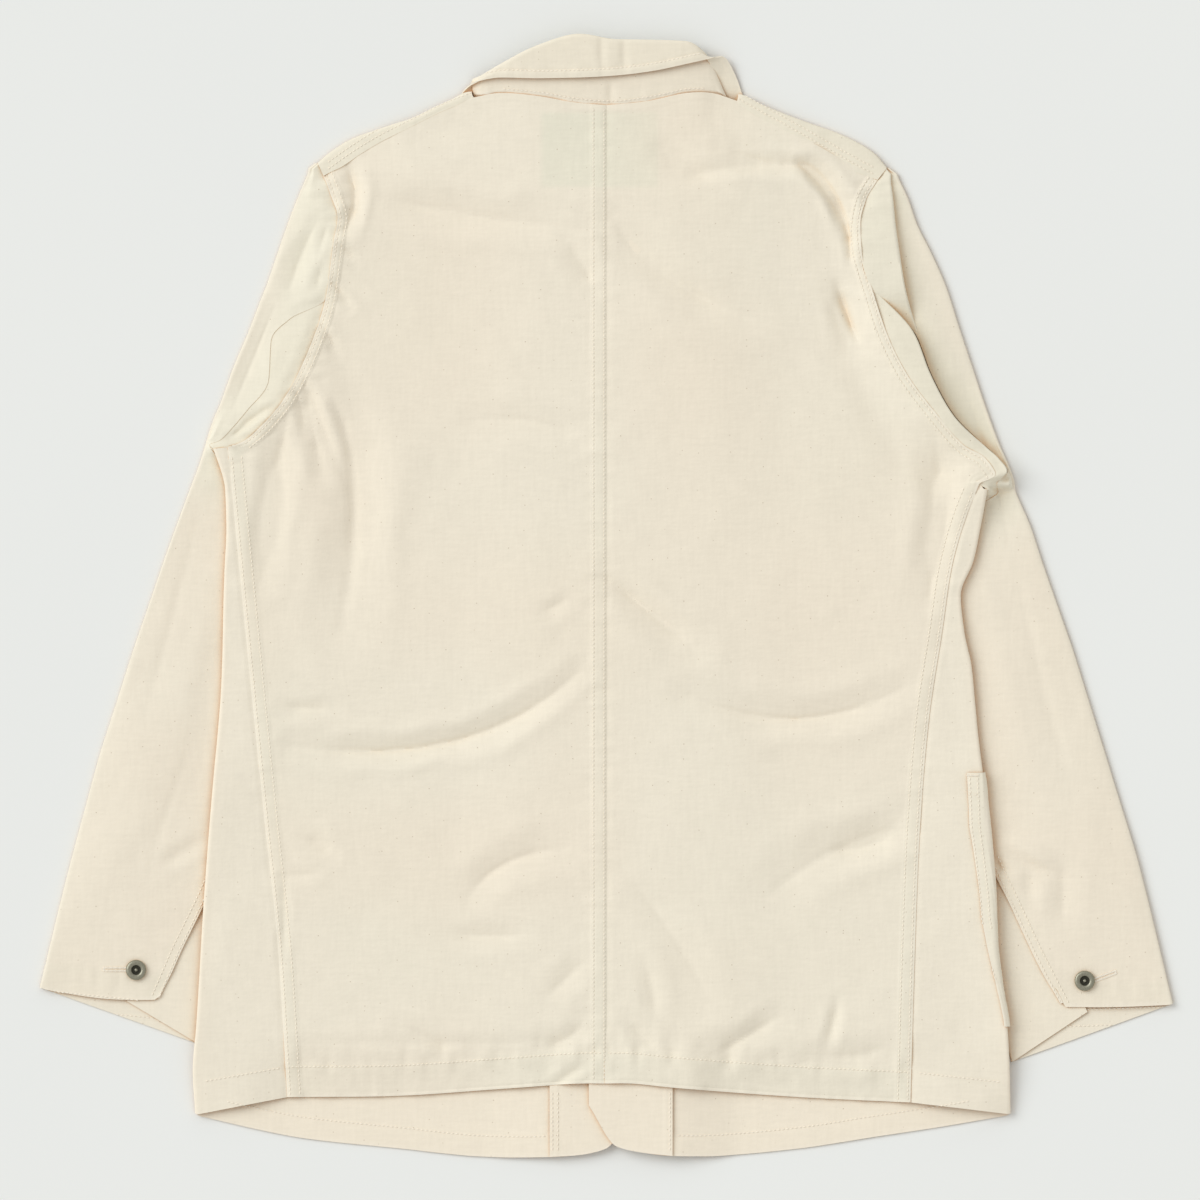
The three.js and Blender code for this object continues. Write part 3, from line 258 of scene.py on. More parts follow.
# Collar stations from the left front end round the back to the right front end: neck seam, roll,
# free edge of the leaf, and the heights of the stand and the leaf.
COLLAR = (
    ((2, 293), (2, 305), (-24, 256), 4.2, 0.6),
    ((-32, 298), (-30, 314), (-64, 266), 2.9, 0.6),
    ((-62, 316), (-55, 331), (-98, 298), 2.9, 0.6),
    ((-85, 346), (-75, 354), (-114, 338), 2.9, 0.6),
    ((-97, 363), (-95, 370), (-110, 362), 3.4, 0.6),
    ((-96.5, 371.0), (-98.5, 381.5), (-104, 375), 3.6, 3.4),
    ((-90, 371.6), (-91, 386), (-94, 381.5), 6.9, 10),
    ((-76, 373.7), (-74, 396), (-76, 384.5), 8, 12),
    ((-50, 371.6), (-50, 408), (-50, 384), 9.5, 13.7),
    ((-20, 366.6), (-19, 416.5), (-20, 384.5), 9.8, 14),
    ((8, 364.9), (8, 412.5), (8, 386), 9.8, 14),
    ((36, 368.6), (36, 412), (36, 389.5), 9.8, 14),
    ((60, 373.7), (60, 411), (62, 395), 9.2, 13.4),
    ((74, 374.2), (71, 405), (76, 398), 8.1, 11.8),
    ((84, 373.2), (78, 396), (87, 400), 6.2, 6.8),
    ((91, 367), (83, 383), (97, 385), 3.4, 2.4),
    ((93, 358), (84, 364), (103, 367), 2.9, 1.2),
    ((86, 345), (76, 353), (112, 338), 2.9, 0.6),
    ((71, 316), (61, 331), (104, 296), 2.9, 0.6),
    ((41, 298), (38, 314), (70, 264), 3.4, 0.6),
    ((7, 293), (7, 305), (34, 256), 7, 0.6),
)


# Troughs of the back: from, by way of, to, half width, depth. Nought or less in depth is a ridge.
BACK_FOLDS = (
    ((-193, 322), (-177, 297), (-192, 272), 6, 1.7),
    ((-164, 296), (-114, 283), (-19, 272), 12, 1.4),
    ((-29, 263), (-16, 248), (-8, 229), 8, 0.9),
    ((5, 281), (37, 231), (103, 208), 13, 1.7),
    ((44, 331), (56, 314), (84, 308), 9, 1.0),
    ((86, 332), (111, 323), (132, 319), 9, 1.3),
    ((65, 313), (96, 320), (132, 319), 6, 0.8),
    ((132, 321), (170, 322), (181, 266), 7, 2.6),
    ((173, 229), (177, 208), (189, 186), 9, 1.4),
    ((-235, 133), (-244, 94), (-253, 13), 9, 1.8),
    ((-223, 157), (-218, 127), (-209, 92), 8, 1.7),
    ((-211, 158), (-170, 109), (-195, -24), 18, 2.4),
    ((245, 118), (252, 72), (240, 1), 12, 1.9),
    ((-238, -81), (-220, -82), (-202, -83), 6, 0.8),
    ((-232, -110), (-95, -130), (-20, -56), 8, 1.9),
    ((3, 12), (37, -13), (65, -37), 11, 1.8),
    ((-95, 132), (-38, 135), (-19, 115), 11, 0.9),
    ((-46, -11), (-36, -7), (-27, -1), 6, 0.6),
    ((62, -73), (142, -110), (220, -68), 10, 1.6),
    ((120, -222), (161, -184), (227, -167), 14, 1.0),
    ((13, -200), (57, -255), (78, -299), 12, 0.8),
    ((30, -272), (36, -290), (37, -312), 6, 0.7),
    ((164, -334), (169, -318), (172, -299), 5, 0.9),
    ((-40, -362), (-28, -356), (-16, -346), 4, 0.8),
    ((144, 323), (163, 303), (178, 273), 3.5, 1.2),
    ((178, 273), (183, 260), (181, 246), 3.5, 0.9),
    ((172, 231), (178, 212), (187, 192), 3.5, 0.9),
    ((-227, 172), (-208, 122), (-194, 89), 5, 0.8),
    ((-203, 262), (-192, 258), (-183, 249), 3.5, 0.6),
    ((-207, 236), (-196, 228), (-188, 214), 3.5, 0.7),
    ((-215, 207), (-204, 196), (-199, 178), 4, 0.7),
    ((-232, 160), (-224, 140), (-222, 120), 3.5, 0.7),
    ((-221, -178), (-211, -181), (-202, -190), 6, 0.8),
    ((-99, -220), (-80, -190), (-29, -186), 11, 1.4),
    ((-114, -249), (-87, -252), (-61, -250), 8, 0.9),
    ((-42, -295), (-29, -283), (-17, -271), 7, 0.8),
    ((-46, -333), (-24, -329), (-16, -314), 7, 0.9),
    ((-152, -318), (-124, -326), (-110, -339), 7, 0.9),
    ((81, -339), (103, -326), (128, -311), 9, 1.4),
    ((18, -314), (27, -325), (37, -335), 7, 0.8),
    ((163, -188), (195, -189), (214, -173), 11, 1.5),
    ((155, -339), (189, -343), (210, -332), 8, 0.9),
    ((-238, -206), (-237, -240), (-238, -270), 4, 0.5),
    ((-240, -207), (-226, -206), (-212, -205), 4, 0.4),
    ((-221, -329), (-120, -331), (-29, -329), 5, 0.35),
    ((-223, 190), (-200, 160), (-196, 60), 15, -1.6),
    ((196, 250), (214, 170), (286, 92), 20, -4.2),
)

# Height of the puckers round each armhole
ARMHOLE_PUCKER = {Side.LEFT: 1.5, Side.RIGHT: 0.9}

# Patterns of puckers that the two cloths of a seam share
SIDE_SEED = 21
ARMHOLE_SEED = 23
SHOULDER_SEED = 25

# How far the right pocket's back edge lies in from the side fold at each level
POCKET_LEVELS = (-318, -297, -238, -170, -130)
POCKET_INTO = (2.4, 4, 13, 16, 13)
LABEL_CENTRE = (-4.0, 331.0)

# The same for the upper layers of the sleeves
SLEEVE_FOLDS = {
    Side.LEFT: (
        ((-214, 275), (-225, 254), (-233, 229), 7, 1.2),
        ((-205, 275), (-208, 263), (-212, 256), 5, 0.8),
        ((-208, 245), (-212, 236), (-212, 229), 5, 0.7),
        ((-245, 214), (-262, 170), (-275, 140), 9, 0.8),
        ((-300, 60), (-322, -20), (-340, -90), 16, 0.7),
        ((-310, -120), (-330, -170), (-340, -215), 13, 0.6),
        ((-330, -199), (-312, -188), (-296, -180), 5, 0.7),
        ((-271, 127), (-252, 134), (-235, 145), 4, 1.0),
        ((-277, 118), (-268, 124), (-262, 128), 3, 0.7),
    ),
    Side.RIGHT: (
        ((297, -181), (315, -189), (334, -200), 6, -1.0),
        ((296, -187), (316, -197), (336, -208), 3.5, 0.7),
        ((289, -194), (292, -198), (296, -203), 4, 1.1),
        ((314, -203), (315, -212), (314, -224), 7, 0.8),
        ((338, -199), (340, -218), (338, -240), 9, 0.8),
        ((268, 150), (285, 95), (300, 40), 12, 0.9),
        ((305, 20), (320, -60), (345, -140), 16, 0.7),
    ),
}


def lerp(a: float, b: float, t: float) -> float:
    """Returns the value at share t of the way from a to b."""
    return a + (b - a) * t


def ease(a: float, b: float, x: np.ndarray) -> np.ndarray:
    """Returns a soft step from 0 at a to 1 at b."""
    t = np.clip((x - a) / (b - a), 0, 1)
    return t * t * (3 - 2 * t)


def mix(p: Sequence[float], q: Sequence[float], t: float) -> np.ndarray:
    """Returns the point at share t of the way from p to q."""
    return np.asarray(p, float) + (np.asarray(q, float) - np.asarray(p, float)) * t


def unit(start: Sequence[float], end: Sequence[float]) -> np.ndarray:
    """Returns the plan direction from start to end, of length 1."""
    step = np.asarray(end, float)[:2] - np.asarray(start, float)[:2]
    return step / max(np.hypot(*step), 1e-9)


def shifted(point: Sequence[float], towards: Sequence[float], amount: float) -> np.ndarray:
    """Returns a plan point moved by an amount towards another."""
    return np.asarray(point, float)[:2] + unit(point, towards) * amount


class Line:
    """A smooth line through listed points, read by share of length or by a coordinate."""

    def __init__(self, points: Points, smooth: bool = True) -> None:
        """Makes the line.

        Args:
            points: The points [x, y] that it runs through.
            smooth: Whether it curves between them.
        """
        ends = np.asarray(points, float)
        self.dense = self._curve(ends) if smooth else ends
        steps = np.linalg.norm(np.diff(self.dense, axis=0), axis=1)
        self.lengths = np.concatenate([[0.0], np.cumsum(steps)])

    @staticmethod
    def _curve(p: np.ndarray) -> np.ndarray:
        """Returns a dense centripetal curve through the points p."""
        p = np.vstack([2 * p[0] - p[1], p, 2 * p[-1] - p[-2]])
        t = np.linspace(0, 1, 13)[:-1, None]
        parts = []
        for a, b, c, d in zip(p, p[1:], p[2:], p[3:]):
            gaps = [max(np.linalg.norm(v - u), 1e-6) ** 0.5 for u, v in ((a, b), (b, c), (c, d))]
            enter = (b - a) / gaps[0] - (c - a) / (gaps[0] + gaps[1]) + (c - b) / gaps[1]
            leave = (c - b) / gaps[1] - (d - b) / (gaps[1] + gaps[2]) + (d - c) / gaps[2]
            enter, leave = enter * gaps[1], leave * gaps[1]
            square, cube = -3 * b + 3 * c - 2 * enter - leave, 2 * b - 2 * c + enter + leave
            parts.append(b + enter * t + square * t**2 + cube * t**3)
        return np.vstack([*parts, p[-2]])

    def at(self, share: np.ndarray) -> np.ndarray:
        """Returns the points at shares of the line's length."""
        place = np.clip(share, 0, 1) * self.lengths[-1]
        return np.stack([np.interp(place, self.lengths, self.dense[:, k]) for k in (0, 1)], -1)

    def where(self, axis: int, value: np.ndarray) -> np.ndarray:
        """Returns the points whose coordinate on an axis has the values given."""
        order = np.argsort(self.dense[:, axis], kind="stable")
        known = self.dense[order, axis]
        return np.stack([np.interp(value, known, self.dense[order, k]) for k in (0, 1)], -1)

    def distance(self, x: np.ndarray, y: np.ndarray) -> np.ndarray:
        """Returns the distance of places from the line."""
        return nearest(self.dense[::3] if len(self.dense) > 40 else self.dense, x, y)[0]


def nearest(line: np.ndarray, x: np.ndarray, y: np.ndarray) -> tuple[np.ndarray, np.ndarray]:
    """Finds how near places come to a line of straight stretches.

    Args:
        line: Points [x, y] of the line.
        x: X of the places.
        y: Y of the places.

    Returns:
        The distances, and the share along the line of each nearest point.
    """
    x, y = np.asarray(x, float), np.asarray(y, float)
    best = np.full(np.broadcast(x, y).shape, np.inf)
    share = np.zeros_like(best)
    for k, (a, b) in enumerate(zip(line[:-1], line[1:])):
        step = b - a
        length = max(step @ step, 1e-9)
        t = np.clip(((x - a[0]) * step[0] + (y - a[1]) * step[1]) / length, 0, 1)
        away = np.hypot(x - a[0] - step[0] * t, y - a[1] - step[1] * t)
        share = np.where(away < best, (k + t) / (len(line) - 1), share)
        best = np.minimum(best, away)
    return best, share


def outside(ring: np.ndarray, x: np.ndarray, y: np.ndarray) -> np.ndarray:
    """Returns the distance of places outside a ring, 0 within it."""
    x, y = np.asarray(x, float), np.asarray(y, float)
    inside = np.zeros(np.broadcast(x, y).shape, bool)
    closed = np.vstack([ring, ring[:1]])
    for (ax, ay), (bx, by) in zip(closed[:-1], closed[1:]):
        if ay != by:
            crosses = (ay > y) != (by > y)
            inside ^= crosses & (x < (bx - ax) * (y - ay) / (by - ay) + ax)
    return np.where(inside, 0.0, nearest(closed, x, y)[0])


def waves(x: np.ndarray, y: np.ndarray, size: float, seed: int) -> np.ndarray:
    """Returns smooth unevenness between -1 and 1.

    Args:
        x: X of the places.
        y: Y of the places.
        size: Width of one wave in millimetres.
        seed: Picks the pattern.
    """
    lattice = np.random.default_rng(seed).uniform(-1, 1, (64, 64))
    u, v = np.asarray(x, float) / size + 17.3, np.asarray(y, float) / size + 9.1
    i, j = np.floor(u).astype(int), np.floor(v).astype(int)
    s, t = ease(0, 1, u - i), ease(0, 1, v - j)
    low = lerp(lattice[i % 64, j % 64], lattice[(i + 1) % 64, j % 64], s)
    high = lerp(lattice[i % 64, (j + 1) % 64], lattice[(i + 1) % 64, (j + 1) % 64], s)
    return lerp(low, high, t)


def folds(table: Sequence[tuple], x: np.ndarray, y: np.ndarray) -> np.ndarray:
    """Returns how far the folds of a table press the cloth down at places.

    Args:
        table: Rows of from, by way of, to, half width and depth.
        x: X of the places.
        y: Y of the places.
    """
    x, y = np.broadcast_arrays(np.asarray(x, float), np.asarray(y, float))
    depth = np.zeros(x.shape)
    for start, via, end, half, deep in table:
        t = np.linspace(0, 1, 9)[:, None]
        first, bend, last = (np.array(point, float) for point in (start, via, end))
        line = (1 - t) ** 2 * first + 2 * t * (1 - t) * bend + t**2 * last
        reach = 3.2 * half
        low, high = line.min(0) - reach, line.max(0) + reach
        near = (x > low[0]) & (x < high[0]) & (y > low[1]) & (y < high[1])
        if near.any():
            away, share = nearest(line, x[near], y[near])
            wander = 1 + 0.25 * waves(x[near], y[near], 3 * half, int(abs(start[0])))
            away = away / (half * wander)
            fade = 0.35 + 0.65 * ease(0, 0.3, share) * (1 - ease(0.7, 1, share))
            soft = np.exp(-(away**2)) - 0.32 * np.exp(-((away - 1.75) ** 2) / 0.55)
            sharp = 0.4 * np.exp(-((away / max(0.24, 2.2 / half)) ** 2)) if deep > 0 else 0.0
            depth[near] += 1.75 * deep * fade * (soft + 1.2 * sharp)
    return depth


def slopes(values: np.ndarray) -> np.ndarray:
    """Returns the slopes, at equal steps of the first axis, of a curve that never overshoots."""
    steps = np.diff(values, axis=0)
    before, after = steps[:-1], steps[1:]
    same = before * after > 0
    total = np.where(same, before + after, 1)
    inner = np.where(same, 2 * before * after / total, 0)
    return np.concatenate([steps[:1], inner, steps[-1:]])


def smoothed(values: np.ndarray, places: np.ndarray) -> np.ndarray:
    """Reads a list of points at places between them, without overshoot.

    Args:
        values: Points at whole places along the first axis.
        places: Where to read, in steps of that axis.

    Returns:
        The values there.
    """
    slope = slopes(values)
    low = np.clip(np.floor(places).astype(int), 0, len(values) - 2)
    t = (places - low).reshape((-1,) + (1,) * (values.ndim - 1))
    a, b, m, n = values[low], values[low + 1], slope[low], slope[low + 1]
    square, cube = t * t, t * t * t
    ends = a * (2 * cube - 3 * square + 1) + b * (3 * square - 2 * cube)
    return ends + m * (cube - 2 * square + t) + n * (cube - square)


def refined(grid: np.ndarray, rows: np.ndarray, columns: np.ndarray) -> np.ndarray:
    """Returns a grid of points read at the rows and columns given, whole or between."""
    along = smoothed(grid, rows)
    return smoothed(along.transpose(1, 0, 2), columns).transpose(1, 0, 2)


class Lay:
    """How the jacket lies: the plan lines of its body and the heights of its layers."""

    def __init__(self) -> None:
        """Makes the lines and rings that the heights are read from."""
        self.lines: dict[Side, dict[str, Line]] = {}
        self.sleeve_ring: dict[Side, np.ndarray] = {}
        self.sleeve_outer: dict[Side, np.ndarray] = {}
        for side, cut in BODY_CUTS.items():
            sleeve = SLEEVE_CUTS[side]
            names = ("fold", "seam", "armhole", "shoulder_fold", "shoulder_seam", "back_neck", "back_hem")
            names += ("front_neck", "front_hem")
            self.lines[side] = {name: Line(getattr(cut, name)) for name in names}
            outs, ins = [row[0] for row in sleeve.closed], [row[3] for row in sleeve.closed]
            self.sleeve_ring[side] = np.array([*outs, sleeve.out[1], cut.armhole[0], *ins[::-1]], float)
            self.sleeve_outer[side] = np.array([*outs, *sleeve.out], float)
        left, right = self.lines[Side.LEFT], self.lines[Side.RIGHT]
        holes = [np.array(BODY_CUTS[side].armhole[1:], float) for side in (Side.LEFT, Side.RIGHT)]
        self.body_ring = np.vstack([
            left["fold"].dense[::4], holes[0], left["shoulder_fold"].dense[::4],
            right["shoulder_fold"].dense[::-4], holes[1][::-1], right["fold"].dense[::-4],
        ])

    def armpit(self, x: np.ndarray, y: np.ndarray) -> np.ndarray:
        """Returns how far the right armpit stands up at places."""
        ax, ay = BODY_CUTS[Side.RIGHT].armhole[2]
        return ARMPIT_LIFT * np.exp(-(((x - ax) ** 2 + (y - ay) ** 2) / 26**2))

    def front(self, side: Side, x: np.ndarray, y: np.ndarray) -> np.ndarray:
        """Returns the middle height of a front's lower layer.

        It lies over the sleeve, its pocket, the collar leaf and the buttons.
        """
        x, y = np.asarray(x, float), np.asarray(y, float)
        from_sleeve = outside(self.sleeve_ring[side], x, y)
        over_sleeve = (2 * CUFF_RISE + LAYER) * (1 - ease(4, SLEEVE_REACH, from_sleeve))
        over_leaf = LAYER * (1 - ease(54, 78, self.lines[side]["front_neck"].distance(x, y)))
        strip = BUTTON_HEIGHT + SEAM_GAP + (0 if side is Side.LEFT else 2 * LAYER)
        from_centre = np.abs(x - CENTRE_FRONT_X) if side is Side.LEFT else x - CENTRE_FRONT_X
        over_buttons = strip * (1 - ease(56, 86, from_centre))
        low, high = (-290, -85) if side is Side.LEFT else (85, 310)
        below_mouth = 1 - ease(POCKET_MOUTH + 4, POCKET_MOUTH + 24, y)
        along = ease(POCKET_FOOT - 24, POCKET_FOOT - 4, y) * below_mouth
        across = ease(low - 12, low, x) * (1 - ease(high, high + 12, x))
        pocket = (CLOTH + SEAM_GAP + 0.2) * along * across
        lift = np.maximum(np.maximum(over_leaf, over_buttons), over_sleeve + pocket)
        return FLOOR_LAYER + lift + (self.armpit(x, y) if side is Side.RIGHT else 0)

    def creases(self, side: Side, x: np.ndarray, y: np.ndarray) -> np.ndarray:
        """Returns how far folds and unevenness press the upper layer down, clear of the jacket's edge."""
        lines = self.lines[side]
        from_edge = np.minimum(lines["fold"].distance(x, y), lines["shoulder_fold"].distance(x, y))
        swell = 0.75 * waves(x, y, 78, 3) + 0.4 * waves(x, y, 34, 5) + 0.18 * waves(x, y, 15, 8)
        return (folds(BACK_FOLDS, x, y) + swell) * ease(2, 22, from_edge)

    def back(self, side: Side, x: np.ndarray, y: np.ndarray, creased: bool = True) -> np.ndarray:
        """Returns the middle height of the upper layer, with its folds if they are asked for."""
        x, y = np.asarray(x, float), np.asarray(y, float)
        lines = self.lines[side]
        over_buttons = 1 - ease(70, 120, np.abs(x - CENTRE_FRONT_X))
        from_hem = lines["back_hem"].distance(x, y)
        from_edge = np.minimum(lines["fold"].distance(x, y), lines["shoulder_fold"].distance(x, y))
        below = self.front(side, x, y)
        over_centre = 2.6 * (1 - ease(60, 130, np.abs(x - CENTRE_FRONT_X - 12))) * (1 - ease(290, 350, y))
        level = BACK_LEVEL + over_centre + (self.armpit(x, y) if side is Side.RIGHT else 0)
        height = lerp(below + SIDE_FOLD_RISE, level, ease(0, 50, from_edge))
        over_both = (ease(-45, -22, x) if side is Side.LEFT else 0.35) * over_buttons
        flat = 2.0 + 1.2 * over_buttons + 3.4 * over_both
        at_hem = below + lerp(SIDE_FOLD_RISE, flat, ease(45, 100, lines["fold"].distance(x, y)))
        height = np.minimum(height, lerp(at_hem, height, ease(0, 50, from_hem)))
        if creased:
            height = height - self.creases(side, x, y)
        return np.maximum(height, below + 2.0)

    def sleeve_flat(self, side: Side, low: bool, share: float, x: np.ndarray, y: np.ndarray) -> np.ndarray:
        """Returns the middle height of a sleeve's upper layer where it lies clear of the body."""
        rise = 2 * CUFF_RISE if low else SLEEVE_FOLD_RISE
        from_body = outside(self.body_ring, x, y)
        from_out = nearest(self.sleeve_outer[side], x, y)[0]
        puff = SLEEVE_PUFF * ease(6, 40, from_body) * ease(0, 30, from_out) * ease(0, 0.35, np.float64(share))
        return FLOOR_LAYER + rise + puff


def deselect() -> None:
    """Leaves edit mode and deselects everything."""
    if bpy.context.mode != "OBJECT":
        bpy.ops.object.mode_set(mode="OBJECT")
    bpy.ops.object.select_all(action="DESELECT")


def activate(piece: Piece) -> None:
    """Makes one piece the only selected and the active one."""
    deselect()
    piece.select_set(True)
    bpy.context.view_layer.objects.active = piece


def apply_modifier(piece: Piece, kind: str, **settings: object) -> None:
    """Adds a modifier to a piece, sets it and applies it.

    Args:
        piece: The mesh object.
        kind: Blender's modifier type.
        **settings: The modifier's values.
    """
    activate(piece)
    modifier = piece.modifiers.new(kind.title(), kind)
    for name, value in settings.items():
        setattr(modifier, name, value)
    bpy.ops.object.modifier_apply(modifier=modifier.name)


def cloth_sheet(
    name: str, points: np.ndarray, keep: np.ndarray | None = None, tint: np.ndarray | None = None,
    wall: float = 1.0, closed: bool = False,
) -> Piece:
    """Makes a piece of cloth from a grid of middle points.

    Args:
        name: Name of the piece.
        points: Rows of points [x, y, z] in millimetres, in rows.
        keep: Which cells of the grid are cloth, all by default.
        tint: For each point, how far it is doubled, warm and worn, from 0 to 1.
        wall: Thickness in millimetres.
        closed: Whether to leave out the wall, for a shell that is closed already.

    Returns:
        The finished mesh object, at the origin.
    """
    rows, columns = points.shape[:2]
    deselect()
    bpy.ops.mesh.primitive_grid_add(x_subdivisions=columns - 1, y_subdivisions=rows - 1, size=1)
    piece = bpy.context.active_object
    piece.name = name
    mesh = piece.data
    if len(mesh.vertices) != rows * columns:
        raise ValueError(f"{name}: the grid has {len(mesh.vertices)} points, not {rows} by {columns}")
    mesh.vertices.foreach_set("co", (points * MM).reshape(-1).astype(np.float32))
    across = np.cumsum(np.linalg.norm(np.diff(points, axis=1, prepend=points[:, :1]), axis=2), axis=1)
    along = np.cumsum(np.linalg.norm(np.diff(points, axis=0, prepend=points[:1]), axis=2), axis=0)
    flat = np.stack([across, along], -1).reshape(-1, 2) * MM
    corners = np.empty(len(mesh.loops), np.int32)
    mesh.loops.foreach_get("vertex_index", corners)
    mesh.uv_layers.active.data.foreach_set("uv", flat[corners].reshape(-1).astype(np.float32))
    shades = np.zeros((rows, columns, 4)) if tint is None else np.concatenate([tint, tint[..., :1]], -1)
    shade = mesh.color_attributes.new("tint", "FLOAT_COLOR", "POINT")
    shade.data.foreach_set("color", shades.reshape(-1).astype(np.float32))
    if keep is not None:
        mesh.polygons.foreach_set("select", (~keep).reshape(-1))
        bpy.ops.object.mode_set(mode="EDIT")
        bpy.ops.mesh.select_mode(type="FACE")
        bpy.ops.object.mode_set(mode="OBJECT")
        mesh.polygons.foreach_set("select", (~keep).reshape(-1))
        bpy.ops.object.mode_set(mode="EDIT")
        bpy.ops.mesh.delete(type="FACE")
        bpy.ops.object.mode_set(mode="OBJECT")
    if not closed:
        apply_modifier(piece, "SOLIDIFY", thickness=wall * MM, offset=0.0, use_rim=True)
    activate(piece)
    bpy.ops.object.shade_smooth_by_angle(angle=math.radians(50))
    return piece


def place(piece: Piece, material: Material, *nodes: str, slot: str = "drill") -> Piece:
    """Puts a finished piece on the jacket in place of CAD nodes.

    Args:
        piece: The finished mesh object.
        material: What it is made of.
        *nodes: The nodes it stands for.
        slot: Not used.

    Returns:
        The piece.
    """
    piece.data.materials.append(material)
    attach(piece, "root")
    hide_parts(*nodes)
    LOG.info("%s: %d faces, for %s", piece.name, len(piece.data.polygons), ", ".join(nodes))
    return piece


def fading(distance: np.ndarray, reach: float) -> np.ndarray:
    """Returns 1 at a line, falling to nothing a little past the reach from it."""
    return np.exp(-((distance / reach) ** 2))


def band(distance: np.ndarray, width: float, height: float, groove: float = 0.3) -> np.ndarray:
    """Returns the relief of a stitched band along an edge.

    Args:
        distance: Distances from the edge.
        width: Width of the band.
        height: Its height over the cloth beside it.
        groove: Depth of its stitch lines.

    Returns:
        Heights in millimetres.
    """
    body = height * (1 - ease(width - 0.8, width + 0.9, distance)) * (0.6 + 0.4 * ease(-0.2, 1.6, distance))
    lines = fading(distance - 2.2, 0.9) + fading(distance - width + 1.6, 0.9)
    return body - groove * lines


def pucker(
    distance: np.ndarray, along: np.ndarray, seed: int, height: float = 0.3, reach: float = 9.0
) -> np.ndarray:
    """Returns the small puckers that sewing draws up beside a seam.

    Args:
        distance: Distances from the seam.
        along: Places along it.
        seed: Picks the pattern.
        height: Height of the puckers.
        reach: How far they spread.

    Returns:
        Heights in millimetres.
    """
    rows = waves(along, distance * 0.4, 5.2, seed) + 0.7 * waves(along, distance * 0.25, 11.0, seed + 1)
    return height * rows * fading(distance, reach)


def graded(stops: Sequence[tuple[float, float]]) -> np.ndarray:
    """Returns places from finely to coarsely spaced.

    Args:
        stops: Pairs of an end place and the step used up to it.

    Returns:
        The places, from 0 to the last end.
    """
    places = [0.0]
    for end, step in stops:
        count = max(1, round((end - places[-1]) / step))
        places.extend(np.linspace(places[-1], end, count + 1)[1:])
    return np.array(places)


def rows_of(side: Side, row: np.ndarray) -> np.ndarray:
    """Returns the levels (y) of rows between the hem and the armpit."""
    cut = BODY_CUTS[side]
    known = [0, HEM_TO_FOOT, HEM_TO_FOOT + FOOT_TO_MOUTH, BELOW_ARMPIT]
    return np.interp(row, known, [cut.fold[0][1], POCKET_FOOT, POCKET_MOUTH, cut.armhole[0][1]])


